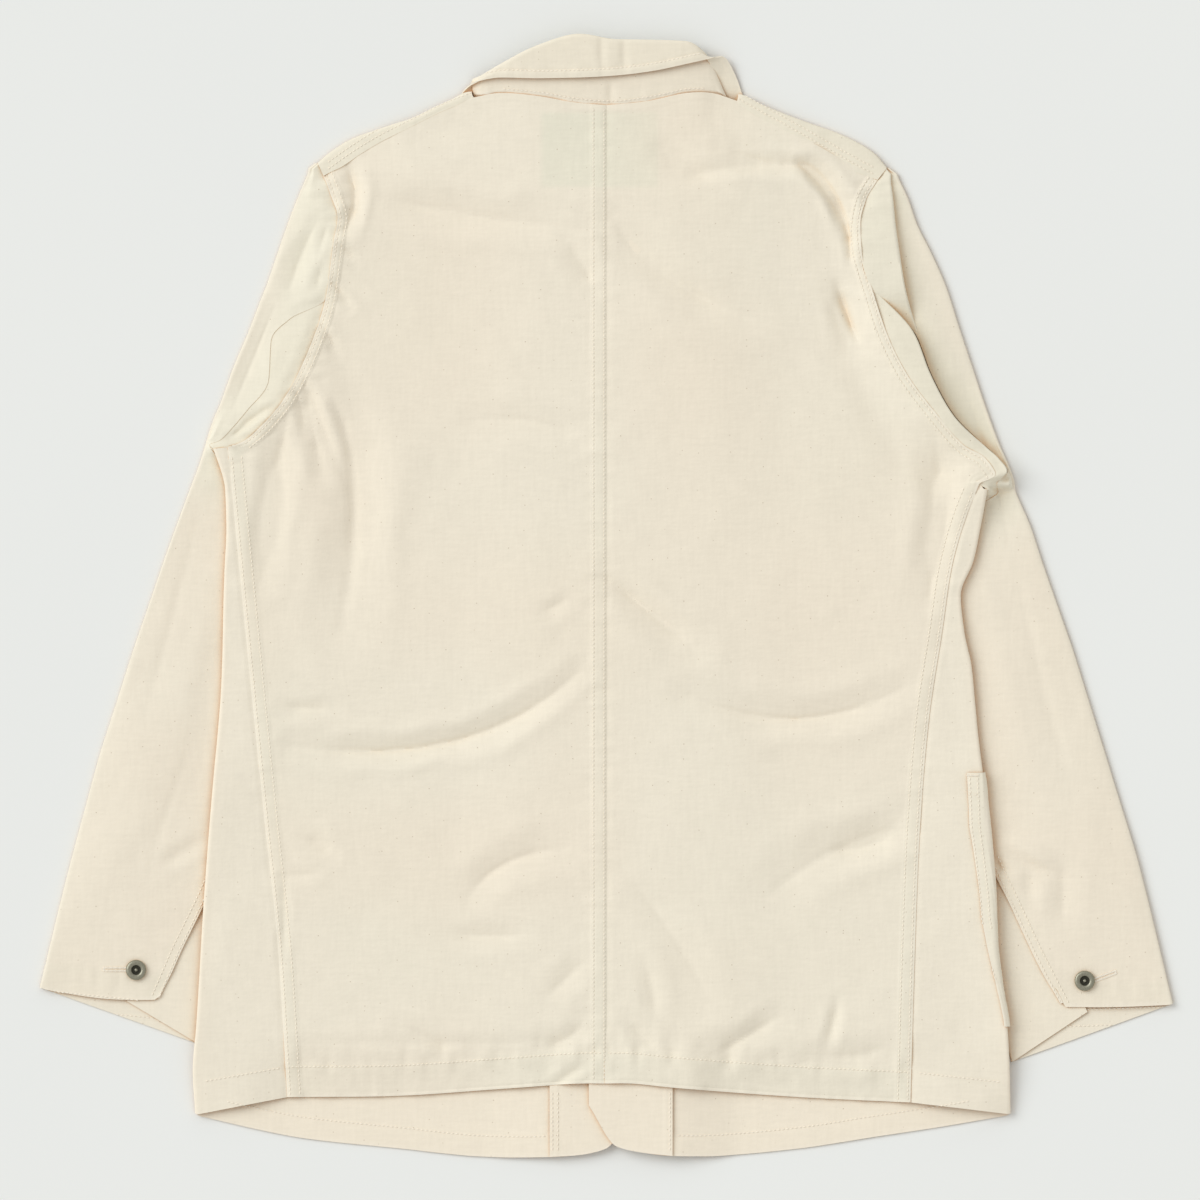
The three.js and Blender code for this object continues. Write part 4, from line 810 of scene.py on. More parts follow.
@dataclass
class BackPanels:
    """The two halves of the back, joined at the centre by a felled seam."""

    lay: Lay
    width: float = 240.0
    step: float = 2.3
    centre_fell: float = 11.5
    side_fell: float = 11.0
    armhole_fell: float = 8.0
    hem_depth: float = 24.0

    def plan(self, side: Side) -> np.ndarray:
        """Returns the plan points of one half, in rows from the hem up."""
        cut, lines = BODY_CUTS[side], self.lay.lines[side]
        stations = len(cut.armhole) - 3
        rows = BELOW_ARMPIT + stations
        levels = graded([(0.35, 0.03), (2, 0.07), (BELOW_ARMPIT, 0.055), (rows - 0.6, 0.08), (rows, 0.05)])
        fine = 1.1 / self.width
        shares = graded([(14 / self.width, fine), (1 - 16 / self.width, self.step / self.width), (1, fine)])
        armhole = np.array(cut.armhole[1:-1], float)
        seam = np.where(
            (levels < BELOW_ARMPIT)[:, None],
            lines["seam"].where(1, np.where(levels < 1e-6, cut.seam[0][1], rows_of(side, levels))),
            smoothed(armhole, np.clip(levels - BELOW_ARMPIT, 0, stations)),
        )
        seam[0] = cut.seam[0]
        inner_y = np.where(
            levels <= BELOW_ARMPIT, rows_of(side, levels),
            lerp(cut.armhole[0][1], 364, (levels - BELOW_ARMPIT) / stations),
        )
        inner_y = np.where(levels < 1, lerp(-360.0, rows_of(side, np.float64(1)), levels), inner_y)
        past = 1.5 if side is Side.LEFT else 0.6
        inner = np.stack([np.full_like(inner_y, past if side is Side.LEFT else -past), inner_y], -1)
        join = SHOULDER / (SHOULDER + NECK)
        u = shares[:, None]
        shoulder = lines["shoulder_seam"].at(shares / join)
        top = np.where(u <= join, shoulder, lines["back_neck"].at((shares - join) / (1 - join)))
        hem = lines["back_hem"].at(shares)
        flat = seam[:, None] * (1 - u) + inner[:, None] * u
        sag = hem - (seam[0] * (1 - u) + inner[0] * u)
        rise = top - (seam[-1] * (1 - u) + inner[-1] * u)
        fade_in = np.clip(1 - levels / 3, 0, 1)[:, None, None]
        fade_out = np.clip((levels - BELOW_ARMPIT) / stations, 0, 1)[:, None, None]
        return flat + sag * fade_in + rise * fade_out

    def relief(self, side: Side, x: np.ndarray, y: np.ndarray) -> tuple[np.ndarray, np.ndarray]:
        """Returns how far seams and hem stand up at places, and the tints there."""
        lines = self.lay.lines[side]
        past_armpit = ease(0, 6, y - BODY_CUTS[side].armhole[1][1])
        to_side = np.abs(x - lines["seam"].where(1, y)[..., 0]) + 60 * past_armpit
        to_armhole = nearest(np.array(BODY_CUTS[side].armhole[1:], float), x, y)[0]
        to_shoulder = lines["shoulder_seam"].distance(x, y)
        to_neck = lines["back_neck"].distance(x, y)
        to_hem = y - lines["back_hem"].where(0, x)[..., 1]
        raised = band(to_side, self.side_fell, 0.45, 0.25) + band(to_armhole, self.armhole_fell, 0.8, 0.35)
        raised -= (0.7 if side is Side.LEFT else 0.25) * (1 - ease(0, 2.4, to_side))
        raised += band(to_neck, 5.0, 0.35, 0.15) - 0.4 * (1 - ease(0, 2.0, to_shoulder))
        raised += band(to_hem, self.hem_depth, 0.8, 0.35)
        drawn = pucker(to_side, y, SIDE_SEED, 0.4)
        drawn += pucker(to_armhole, y, ARMHOLE_SEED, ARMHOLE_PUCKER[side], 13)
        raised += drawn + pucker(to_shoulder, x, SHOULDER_SEED, 0.25)
        raised += pucker(to_hem - self.hem_depth, x, 27, 0.6, 13) + pucker(to_hem, x, 28, 0.5, 11)
        flats = ease(-20, 40, x) * (1 - ease(150, 200, x))
        raised += flats * pucker(to_hem - self.hem_depth, x * 0.6, 26, 0.8, 14)
        fell = 0.0 if side is Side.RIGHT else 1.0
        to_centre = 1.5 - x if side is Side.LEFT else x + 0.6
        if side is Side.LEFT:
            raised += band(to_centre, self.centre_fell, 0.6, 0.25) - 0.75 * (1 - ease(0, 2.6, to_centre))
        raised += pucker(np.abs(x + 4) - 4, y, 29, 0.4, 11)
        doubled = (1 - ease(self.hem_depth - 1, self.hem_depth + 1, to_hem)) + (1 - ease(7, 9, to_armhole))
        doubled += (1 - ease(10, 12, to_side)) + fell * (1 - ease(10.5, 12, to_centre))
        label_x, label_y = LABEL_CENTRE
        label = (1 - ease(40, 46, np.abs(x - label_x))) * (1 - ease(25, 30, np.abs(y - label_y)))
        worn = fading(to_side, 1.6) + fading(to_hem, 1.6) + fading(to_armhole, 1.5)
        cool = np.clip(0.25 * np.minimum(doubled, 1.5) + 0.22 * waves(x, y, 120, 15) + label, 0, 1)
        warm = np.clip(0.3 * waves(x, y, 90, 16) + 0.12, 0, 1)
        return raised, np.stack([cool, warm, np.clip(worn, 0, 1)], -1)

    def build(self, drill: Material) -> None:
        """Makes and dresses both halves."""
        for side in Side:
            flat = self.plan(side)
            x, y = flat[..., 0], flat[..., 1]
            raised, tint = self.relief(side, x, y)
            tucked = 0.35 * (1 - ease(1.5, 6.5, x)) if side is Side.RIGHT else 0
            height = self.lay.back(side, x, y) + raised - tucked
            points = np.stack([x, y, height], -1)
            piece = cloth_sheet(f"back_cloth_{side.value}", points, None, tint)
            place(piece, drill, f"back_{side.value}")


class FrontGrid:
    """Middle points of one front, from the side seam round the fold and along the lower layer."""

    def __init__(self, lay: Lay, side: Side) -> None:
        """Works out the points of the coarse grid.

        Args:
            lay: How the jacket lies.
            side: Which front.
        """
        self.lay, self.side, self.cut = lay, side, BODY_CUTS[side]
        self.stations = len(self.cut.armhole) - 1
        self.rows = BELOW_ARMPIT + self.stations
        self.patch = SHOULDER + 2
        self.columns = self.patch + FACING
        self.wrap = STRIP + ARC
        self.radius = SIDE_FOLD_RISE / 2
        lines = lay.lines[side]
        self.inner_x = self.cut.front_edge + side.outwards * FACING_WIDTH
        hem, neck = lines["front_hem"], lines["front_neck"]
        hem_split, neck_split = hem.where(0, self.inner_x), neck.where(0, self.inner_x)
        outer = [line.dense[np.abs(line.dense[:, 0]) > abs(self.inner_x)] for line in (hem, neck)]
        self.hem = Line(np.vstack([outer[0], hem_split]), False)
        self.neck = Line(np.vstack([outer[1], neck_split]), False)
        self.hem_y, self.neck_y = hem_split[1], neck_split[1]
        self.points = np.array([
            [self.at(i, j) for i in range(-self.wrap, self.columns + 1)] for j in range(self.rows + ARC + 2)
        ])

    def edge(self, row: int) -> np.ndarray:
        """Returns the side fold's or armhole's plan point on a row."""
        if row > BELOW_ARMPIT:
            return np.array(self.cut.armhole[row - BELOW_ARMPIT], float)
        if row == 0:
            return np.array(self.cut.fold[0], float)
        return self.lay.lines[self.side]["fold"].where(1, rows_of(self.side, np.float64(row)))

    def level(self, row: int, hem_y: float, neck_y: float) -> float:
        """Returns the level (y) of a row near the front edge."""
        if row < HEM_TO_FOOT:
            return lerp(hem_y, POCKET_FOOT, row / HEM_TO_FOOT)
        if row <= BELOW_ARMPIT:
            return float(rows_of(self.side, np.float64(row)))
        return lerp(self.cut.armhole[0][1], neck_y, (row - BELOW_ARMPIT) / self.stations)

    def plan(self, i: int, j: int) -> np.ndarray:
        """Returns a plan point of the lower layer."""
        lines = self.lay.lines[self.side]
        if i > self.patch:
            x = lerp(self.inner_x, self.cut.front_edge, (i - self.patch) / FACING)
            ends = [lines[name].where(0, x)[1] for name in ("front_hem", "front_neck")]
            return np.array([x, self.level(j, *ends)])
        u = i / self.patch
        levels = [self.level(row, self.hem_y, self.neck_y) for row in (0, j, self.rows)]
        right = [np.array([self.inner_x, level]) for level in levels]
        join = SHOULDER / self.patch
        top = lines["shoulder_fold"].at(u / join) if u <= join else self.neck.at((u - join) / (1 - join))
        sag = self.hem.at(u) - mix(self.edge(0), right[0], u)
        rise = top - mix(self.edge(self.rows), right[2], u)
        fade_in, fade_out = max(0, 1 - j / HEM_TO_FOOT), max(0, (j - BELOW_ARMPIT) / self.stations)
        return mix(self.edge(j), right[1], u) + sag * fade_in + rise * fade_out

    def lower(self, i: int, j: int) -> np.ndarray:
        """Returns a point of the lower layer."""
        point = self.plan(i, j)
        if i == 0:
            point = shifted(point, self.plan(1, j), self.radius if j <= BELOW_ARMPIT else 0)
        if j == self.rows:
            point = shifted(point, self.plan(i, j - 1), self.radius if i <= SHOULDER else 0)
        return np.append(point, self.lay.front(self.side, *point))

    def side_wrap(self, column: int, j: int) -> np.ndarray:
        """Returns a point of the strip that comes round the side fold to the side seam."""
        edge = self.edge(j)
        inwards = unit(edge, self.plan(1, j))
        inner = edge + inwards * self.radius
        bottom = self.lay.front(self.side, *inner)
        if column >= STRIP:
            return fold_point(edge, inwards, bottom + SIDE_FOLD_RISE, bottom, (column - STRIP) / ARC)
        seam = self.lay.lines[self.side]["seam"].where(1, rows_of(self.side, np.float64(j)))
        seam = self.cut.seam[0] if j == 0 else self.cut.armhole[1] if j == BELOW_ARMPIT else seam
        point = mix(shifted(seam, inner, -3.0), inner, column / STRIP)
        return np.append(point, self.lay.back(self.side, *point, creased=False))

    def shoulder_wrap(self, i: int, row: int) -> np.ndarray:
        """Returns a point of the strip that comes over the shoulder fold to the shoulder seam."""
        edge = self.plan(i, self.rows)
        inwards = unit(edge, self.cut.armhole[-2] if i == 0 else self.plan(i, self.rows - 1))
        inner = edge + inwards * self.radius
        bottom = self.lay.front(self.side, *inner)
        if row <= ARC:
            return fold_point(edge, inwards, bottom + SIDE_FOLD_RISE, bottom, 1 - row / ARC)
        end = self.lay.lines[self.side]["shoulder_seam"].at(i / SHOULDER)
        end = shifted(end, edge, -3.0 if i else -0.5)
        level = self.lay.back(self.side, *end, creased=False)
        return np.append(end, max(level, bottom + SIDE_FOLD_RISE - 0.4))

    def at(self, i: int, j: int) -> np.ndarray:
        """Returns the point of any column and row; where there is no cloth, the nearest point."""
        if i < 0:
            return self.side_wrap(i + self.wrap, min(j, BELOW_ARMPIT))
        if j > self.rows:
            return self.shoulder_wrap(i, j - self.rows) if i <= SHOULDER else self.lower(i, self.rows)
        return self.lower(i, j)


def fold_point(edge: np.ndarray, inwards: np.ndarray, top: float, bottom: float, turn: float) -> np.ndarray:
    """Returns a point on the round of a fold, from the upper layer at turn 0 to the lower at 1."""
    radius = (top - bottom) / 2
    back = radius * (1 - math.sin(math.pi * turn))
    return np.append(edge + inwards * back, (top + bottom) / 2 + radius * math.cos(math.pi * turn))


@dataclass
class Fronts:
    """The two fronts with their facings, seen at the sides, the shoulders and below the back's hem."""

    lay: Lay
    hem_depth: float = 17.0
    grids: dict[Side, FrontGrid] = field(default_factory=dict)

    def build(self, inner: Material) -> None:
        """Makes and dresses both fronts and facings."""
        for side in Side:
            grid = self.grids[side] = FrontGrid(self.lay, side)
            last = grid.wrap + grid.columns
            columns = graded([(STRIP, 0.05), (STRIP + ARC, 0.25), (last, 0.16)])
            rows = graded([
                (HEM_TO_FOOT, 0.07), (BELOW_ARMPIT, 0.1), (grid.rows, 0.2), (grid.rows + ARC + 1, 0.25),
            ])
            points = refined(grid.points, rows, columns)
            x, y = points[..., 0], points[..., 1]
            upper = ease(0, 1.2, STRIP + 0.6 - columns)[None, :] * np.ones_like(x)
            to_seam = np.abs(x - self.lay.lines[side]["seam"].where(1, y)[..., 0])
            to_hem = y - self.lay.lines[side]["front_hem"].where(0, x)[..., 1]
            lowest = self.lay.front(side, x, y) + 1.8
            creased = np.minimum(self.lay.creases(side, x, y), np.maximum(points[..., 2] - lowest, 0))
            points[..., 2] -= upper * creased
            drawn = upper * pucker(to_seam, y, SIDE_SEED, 0.4)
            points[..., 2] += drawn - 0.45 * upper * (1 - ease(0, 4, to_seam))
            over_shoulder = ease(grid.rows + 0.4, grid.rows + 1.2, rows)[:, None]
            strip = over_shoulder * (columns < grid.wrap + SHOULDER)[None, :]
            to_shoulder = self.lay.lines[side]["shoulder_seam"].distance(x, y)
            stitched = np.minimum(band(to_shoulder, 8.5, 0.3, 0.3), 0.3)
            points[..., 2] += strip * (pucker(to_shoulder, x, SHOULDER_SEED, 0.25) + stitched)
            swell = 0.3 * waves(x, y, 42, 11) + 0.1 * waves(x, y, 14, 12)
            swell += pucker(to_hem - self.hem_depth, x, 33, 0.25, 10)
            hemmed = np.maximum(swell, -0.1) + band(to_hem, self.hem_depth, 0.4, 0.25)
            points[..., 2] += (1 - upper) * hemmed * ease(70, 40, to_hem)
            doubled = 1 - ease(self.hem_depth - 1, self.hem_depth + 1, to_hem)
            warm = (1 - upper) * (1 - strip) * np.ones_like(x)
            cool = 0.25 * doubled * (1 - upper) + 0.4 * strip
            tint = np.stack([cool, warm, fading(to_hem, 1.8)], -1)
            cell_i, cell_j = (columns[:-1] + columns[1:]) / 2 - grid.wrap, (rows[:-1] + rows[1:]) / 2
            keep = np.where(
                cell_i[None, :] < 0, cell_j[:, None] < BELOW_ARMPIT,
                (cell_j[:, None] < grid.rows) | (cell_i[None, :] < SHOULDER),
            )
            piece = cloth_sheet(f"front_cloth_{side.value}", points, keep, tint)
            place(piece, inner, f"front_{side.value}", slot="inner_drill")
            self.facing(side, grid, inner)

    def facing(self, side: Side, grid: FrontGrid, inner: Material) -> None:
        """Makes the facing of one front, a layer above it."""
        coarse = grid.points[: grid.rows + 1, grid.wrap + grid.patch :]
        rows = graded([(HEM_TO_FOOT, 0.08), (BELOW_ARMPIT, 0.25), (grid.rows, 0.34)])
        columns = graded([(0.5, 0.06), (FACING, 0.12)])
        points = refined(coarse, rows, columns)
        x, y = points[..., 0], points[..., 1]
        to_edge = np.abs(x - grid.inner_x)
        to_hem = y - self.lay.lines[side]["front_hem"].where(0, x)[..., 1]
        points[..., 2] += LAYER + 0.25 + band(to_edge, 6.0, 0.4, 0.25) + pucker(to_edge, y, 35, 0.3)
        points[..., 2] += 0.35 * waves(x, y, 26, 14) * ease(0, 8, to_hem)
        tint = np.stack([0.3 * (1 - ease(15, 17, to_hem)), np.ones_like(x), fading(to_hem, 1.8)], -1)
        piece = cloth_sheet(f"facing_cloth_{side.value}", points, None, tint)
        place(piece, inner, f"facing_{side.value}", slot="inner_drill")


def laid_run(
    start: np.ndarray, end: np.ndarray, count: int, height: Callable[[float, float], float]
) -> list[np.ndarray]:
    """Returns points evenly from one plan point to another, at their heights.

    Args:
        start: The first plan point.
        end: The last one.
        count: Number of steps.
        height: Gives the height at a place.

    Returns:
        One point more than there are steps.
    """
    spots = (mix(start, end, k / count) for k in range(count + 1))
    return [np.append(spot, height(*spot)) for spot in spots]


@dataclass
class Sleeves:
    """Two-piece sleeves with slit cuffs; the right one folds sharply over itself at the armhole."""

    lay: Lay
    lap: float = 6.0

    def rows(self, side: Side) -> list[dict]:
        """Returns the sections of one sleeve from the cuff to the shoulder tip."""
        cut, hole = SLEEVE_CUTS[side], BODY_CUTS[side].armhole
        found: list[dict] = []
        for k, (row, steps) in enumerate(zip(cut.closed, (1, 1, 1, 2, 3, 2, 1, 1, 1))):
            after = cut.closed[min(k + 1, len(cut.closed) - 1)]
            for step in range(steps):
                t = step / steps
                out, seam, under, inner = (mix(a, b, t) for a, b in zip(row, after))
                found.append(dict(out=out, seam=seam, under=under, inner=inner, station=-1, slit=k < 3,
                                  low=k + t <= 3, share=(k + t) / len(cut.closed), fold=None))
        for station, inner in enumerate(hole):
            seam = np.array(cut.seam[station], float) if station < len(cut.seam) else None
            fold = np.array(cut.fold[station], float) if cut.fold else None
            out = np.array(cut.out[station], float)
            found.append(dict(out=out, seam=seam, under=seam, inner=np.array(inner, float),
                              station=station, slit=False, low=False, share=1.0, fold=fold))
        return found

    def top_height(self, side: Side, row: dict, x: float, y: float) -> float:
        """Returns the middle height of the upper layer, rising to the back along the armhole."""
        flat = float(self.lay.sleeve_flat(side, row["low"], row["share"], x, y))
        if row["station"] < 1:
            return flat
        hole = np.array(BODY_CUTS[side].armhole, float)
        near = 1 - float(ease(0, 36, nearest(hole, x, y)[0]))
        return lerp(flat, float(self.lay.back(side, *row["inner"], creased=False)) - 0.4, near)

    def bottom_height(self, side: Side, row: dict, x: float, y: float) -> float:
        """Returns the middle height of the lower layer, rising to the front along the armhole."""
        if row["station"] < 2:
            return FLOOR_LAYER
        hole = np.array(BODY_CUTS[side].armhole, float)
        near = 1 - float(ease(0, 34 if side is Side.LEFT else 14, nearest(hole, x, y)[0]))
        return lerp(FLOOR_LAYER, float(self.lay.front(side, *row["inner"])), near)

    def folded(self, start: np.ndarray, row: dict, outwards: np.ndarray, scale: float) -> list[np.ndarray]:
        """Returns the band from the right armhole over the sharp fold to the layer beneath."""
        level = float(self.lay.back(Side.RIGHT, *row["inner"]))
        low = float(self.lay.sleeve_flat(Side.RIGHT, False, 1.0, *row["fold"]))
        high, fold = level + 0.6, row["fold"]
        return [
            np.append(start, level - 0.3), np.append(mix(start, fold, 0.5), high), np.append(fold, high),
            np.append(fold + outwards * 0.8 * scale, (high + low) / 2),
            np.append(fold + outwards * 0.4 * scale, low),
        ]

    def section(self, side: Side, row: dict) -> tuple[list[np.ndarray], list[np.ndarray]]:
        """Returns the points of the top sleeve and the under sleeve across one row."""
        mirror, station, change = side is Side.RIGHT, row["station"], len(SLEEVE_CUTS[side].seam) - 1
        inner, out, seam, fold = row["inner"], row["out"], row["seam"], row["fold"]
        outwards = unit(inner, out)
        is_open, folded = station >= 0, mirror and station >= 2
        edge = inner + outwards * (-1.0 if station in (0, 1) else -0.7 if is_open else 0.25)

        def flat_at(x: float, y: float) -> float:
            """Returns the height of the upper layer clear of the body."""
            return float(self.lay.sleeve_flat(side, row["low"], row["share"], x, y))

        def risen_at(x: float, y: float) -> float:
            """Returns the height of the upper layer as it rises to the back."""
            return self.top_height(side, row, x, y)

        top_at = flat_at if folded else risen_at
        width = float(np.hypot(*(out - fold))) if folded else 0.0
        scale = min(1.0, width / 8)
        start = edge if seam is None or station == change else seam
        top: list[np.ndarray] = []
        if folded and station >= change:
            top = self.folded(edge, row, outwards, scale)
            start = top.pop()[:2]
        elif mirror:
            start = fold + outwards * 1.6 * scale if folded else start
            room = 0.2 * (float(np.hypot(*(out - start))) - 0.3 * width)
            step = min(0.6, max(0.1, room / BAND))
            top = laid_run(start, start + outwards * step * BAND, BAND, top_at)
            start = top.pop()[:2]
        radius = min(CUFF_RISE, 0.4 * float(np.hypot(*(out - start))))
        turn_from = out - outwards * radius
        upper = laid_run(start, turn_from, SLEEVE, top_at)
        round_top = FLOOR_LAYER + (2 * CUFF_RISE if row["low"] else SLEEVE_FOLD_RISE)
        upper[-1][2] = round_top
        for k in range(1, ARC):
            back = radius * (1 - math.sin(math.pi * k / ARC))
            half = (round_top - FLOOR_LAYER) / 2
            level = FLOOR_LAYER + half + half * math.cos(math.pi * k / ARC)
            upper.append(np.append(out - outwards * back, level))
        lower_end = edge if is_open else inner + outwards * (self.lap + 0.3)
        lower = laid_run(turn_from, lower_end, SLEEVE, lambda x, y: self.bottom_height(side, row, x, y))
        if folded:
            turn, level = fold + outwards * min(0.6, 0.1 * width), float(self.lay.front(side, *inner))
            halfway = np.append(mix(fold, lower_end, 0.5), (FLOOR_LAYER + level) / 2)
            lower = [np.append(turn_from, FLOOR_LAYER), np.append(mix(turn_from, turn, 0.5), FLOOR_LAYER),
                     np.append(turn, FLOOR_LAYER), halfway, np.append(lower_end, level)]
        lower[0][2] = FLOOR_LAYER
        rise = CUFF_RISE if row["low"] else SLEEVE_FOLD_RISE
        under: list[np.ndarray] = []
        if folded and station < change:
            under = self.folded(edge, row, outwards, 0.5 * scale)[::-1]
        elif folded and station == change:
            under = laid_run(seam, edge, BAND, lambda x, y: float(self.lay.back(side, *inner)) - 0.9)
        elif is_open and seam is not None:
            under = laid_run(seam + outwards * 2.0, edge, BAND, lambda x, y: risen_at(x, y) - 0.5)
        elif not is_open:
            begin = row["under"] if row["slit"] else row["under"] + outwards * 2.0
            level = FLOOR_LAYER + rise - 0.4 * (not row["low"])
            under = laid_run(begin, inner + outwards * rise / 2, BAND, lambda x, y: level)
        bend = [fold_point(inner, outwards, FLOOR_LAYER + rise, FLOOR_LAYER, k / ARC) for k in range(1, ARC)]
        ends = [np.append(inner + outwards * away, FLOOR_LAYER) for away in (rise / 2, self.lap)]
        return [*top, *upper, *lower], [*under, *bend, *ends] if under else []

    def creases(self, side: Side, x: np.ndarray, y: np.ndarray) -> np.ndarray:
        """Returns how far folds and unevenness press the upper layer down at places."""
        clear = ease(0, 14, nearest(self.lay.sleeve_outer[side], x, y)[0])
        swell = 0.6 * waves(x, y, 46, 41) + 0.3 * waves(x, y, 19, 43) + 0.1 * waves(x, y, 9, 44)
        hole = nearest(np.array(BODY_CUTS[side].armhole, float), x, y)[0]
        return (folds(SLEEVE_FOLDS[side], x, y) + swell * clear) * ease(1, 9, hole)

    def closing(self, side: Side, points: np.ndarray) -> np.ndarray:
        """Returns how far points near the armpit rise to meet the body's upper layer."""
        x, y, z = points[..., 0], points[..., 1], points[..., 2]
        near = fading(nearest(np.array(BODY_CUTS[side].armhole[:3], float), x, y)[0], 5.0)
        return near * np.maximum(self.lay.back(side, x, y) - 0.8 - z, 0)

    def build(self, drill: Material, inner: Material) -> None:
        """Makes and dresses the four sleeve pieces."""
        for side in Side:
            rows = self.rows(side)
            sections = [self.section(side, row) for row in rows]
            closed = sum(row["station"] < 0 for row in rows)
            seams = closed + len(SLEEVE_CUTS[side].seam)
            top = np.array([section[0] for section in sections])
            under = np.array([section[1] for section in sections[:seams]])
            start = BAND if side is Side.RIGHT else 0
            upper_end = start + SLEEVE
            stops = [(start, 0.25), (upper_end, 0.1), (upper_end + ARC, 0.25), (top.shape[1] - 1, 0.4)]
            columns = graded(stops[start == 0 :])
            levels = graded([(3, 0.1), (closed, 0.12), (len(rows) - 1, 0.12)])
            points = refined(top, levels, columns)
            x, y = points[..., 0], points[..., 1]
            upper = (1 - ease(upper_end - 0.4, upper_end + 0.4, columns))[None, :] * np.ones_like(x)
            points[..., 2] -= upper * self.creases(side, x, y)
            cuff = nearest(np.array([row["out"] for row in rows[:1]] + [rows[0]["seam"]]), x, y)[0]
            slit = nearest(np.array([row["seam"] for row in rows[:4]]), x, y)[0]
            hole = nearest(np.array(BODY_CUTS[side].armhole[1:], float), x, y)[0]
            drawn = pucker(cuff - 14, x, 45, 0.4) + pucker(slit - 6, y, 47, 0.4)
            drawn += pucker(hole, y, ARMHOLE_SEED, ARMHOLE_PUCKER[side], 13)
            points[..., 2] += upper * drawn
            points[..., 2] += upper * self.closing(side, points)
            across = np.clip((columns - start) / SLEEVE, 0, 1)[None, :]
            low = (1 - ease(0, 0.7, levels))[:, None] * upper
            sag = (-3.2 if side is Side.LEFT else -1.0) * np.sin(math.pi * across)
            sag = sag + 3.0 * (1 - ease(0, 0.05, across))
            points[..., 1] += low * sag
            tip = np.clip(levels - len(rows) + 1.6, 0, 0.6)[:, None] / 0.6
            points[..., 0] -= 4.4 * side.outwards * tip
            points[..., 1] -= 0.2 * tip
            points[..., 2] -= 0.6 * tip * upper
            doubled = 0.3 * (2 - ease(17, 19, cuff) - ease(9, 10, slit)) + 0.55 * (1 - ease(18, 52, hole))
            tint = np.stack([
                upper * np.clip(doubled, 0, 1),
                0.45 * upper * ease(25, 70, hole) * (0.6 + 0.4 * waves(x, y, 60, 46)),
                upper * (fading(cuff, 1.6) + fading(slit, 1.6) * 0.7),
            ], -1)
            piece = cloth_sheet(f"sleeve_top_cloth_{side.value}", points, None, tint)
            place(piece, drill, f"sleeve_top_{side.value}")
            self.dress_under(side, rows, under, closed, inner)

    def dress_under(
        self, side: Side, rows: list[dict], under: np.ndarray, closed: int, inner: Material
    ) -> None:
        """Makes and dresses one under sleeve.

        Args:
            side: Which sleeve.
            rows: Its sections.
            under: Coarse points of the under sleeve, as far as its seam reaches.
            closed: Number of sections below the armhole.
            inner: Material of the cloth's inner face.
        """
        fine = graded([(BAND, 0.12), (BAND + ARC, 0.25), (under.shape[1] - 1, 0.5)])
        levels = graded([(3, 0.12), (closed, 0.25), (len(under) - 1, 0.12)])
        points = refined(under, levels, fine)
        x, y = points[..., 0], points[..., 1]
        low = (levels < 4)[:, None] * (fine < BAND)[None, :]
        placket = nearest(np.array([row["under"] for row in rows[:4]]), x, y)[0]
        points[..., 2] += low * (0.25 * waves(x, y, 20, 51) + pucker(placket - 3, y, 53, 0.2))
        points[..., 2] += (fine < BAND)[None, :] * self.closing(side, points)
        hole = nearest(np.array(BODY_CUTS[side].armhole[1:], float), x, y)[0]
        near = 1 - ease(18, 52, hole)
        tint = np.stack([0.15 * low * (1 - near) + 0.6 * near, low * 0.4, 0 * x], -1)
        drawn = pucker(hole, y, ARMHOLE_SEED, ARMHOLE_PUCKER[side], 13)
        points[..., 2] += near * (drawn - self.creases(side, x, y))
        cells = (fine[:-1] + fine[1:]) / 2
        keep = (cells[None, :] < BAND) | ((levels[:-1] + levels[1:]) / 2 < closed - 1)[:, None]
        piece = cloth_sheet(f"sleeve_under_cloth_{side.value}", points, keep, tint)
        place(piece, inner, f"sleeve_under_{side.value}")


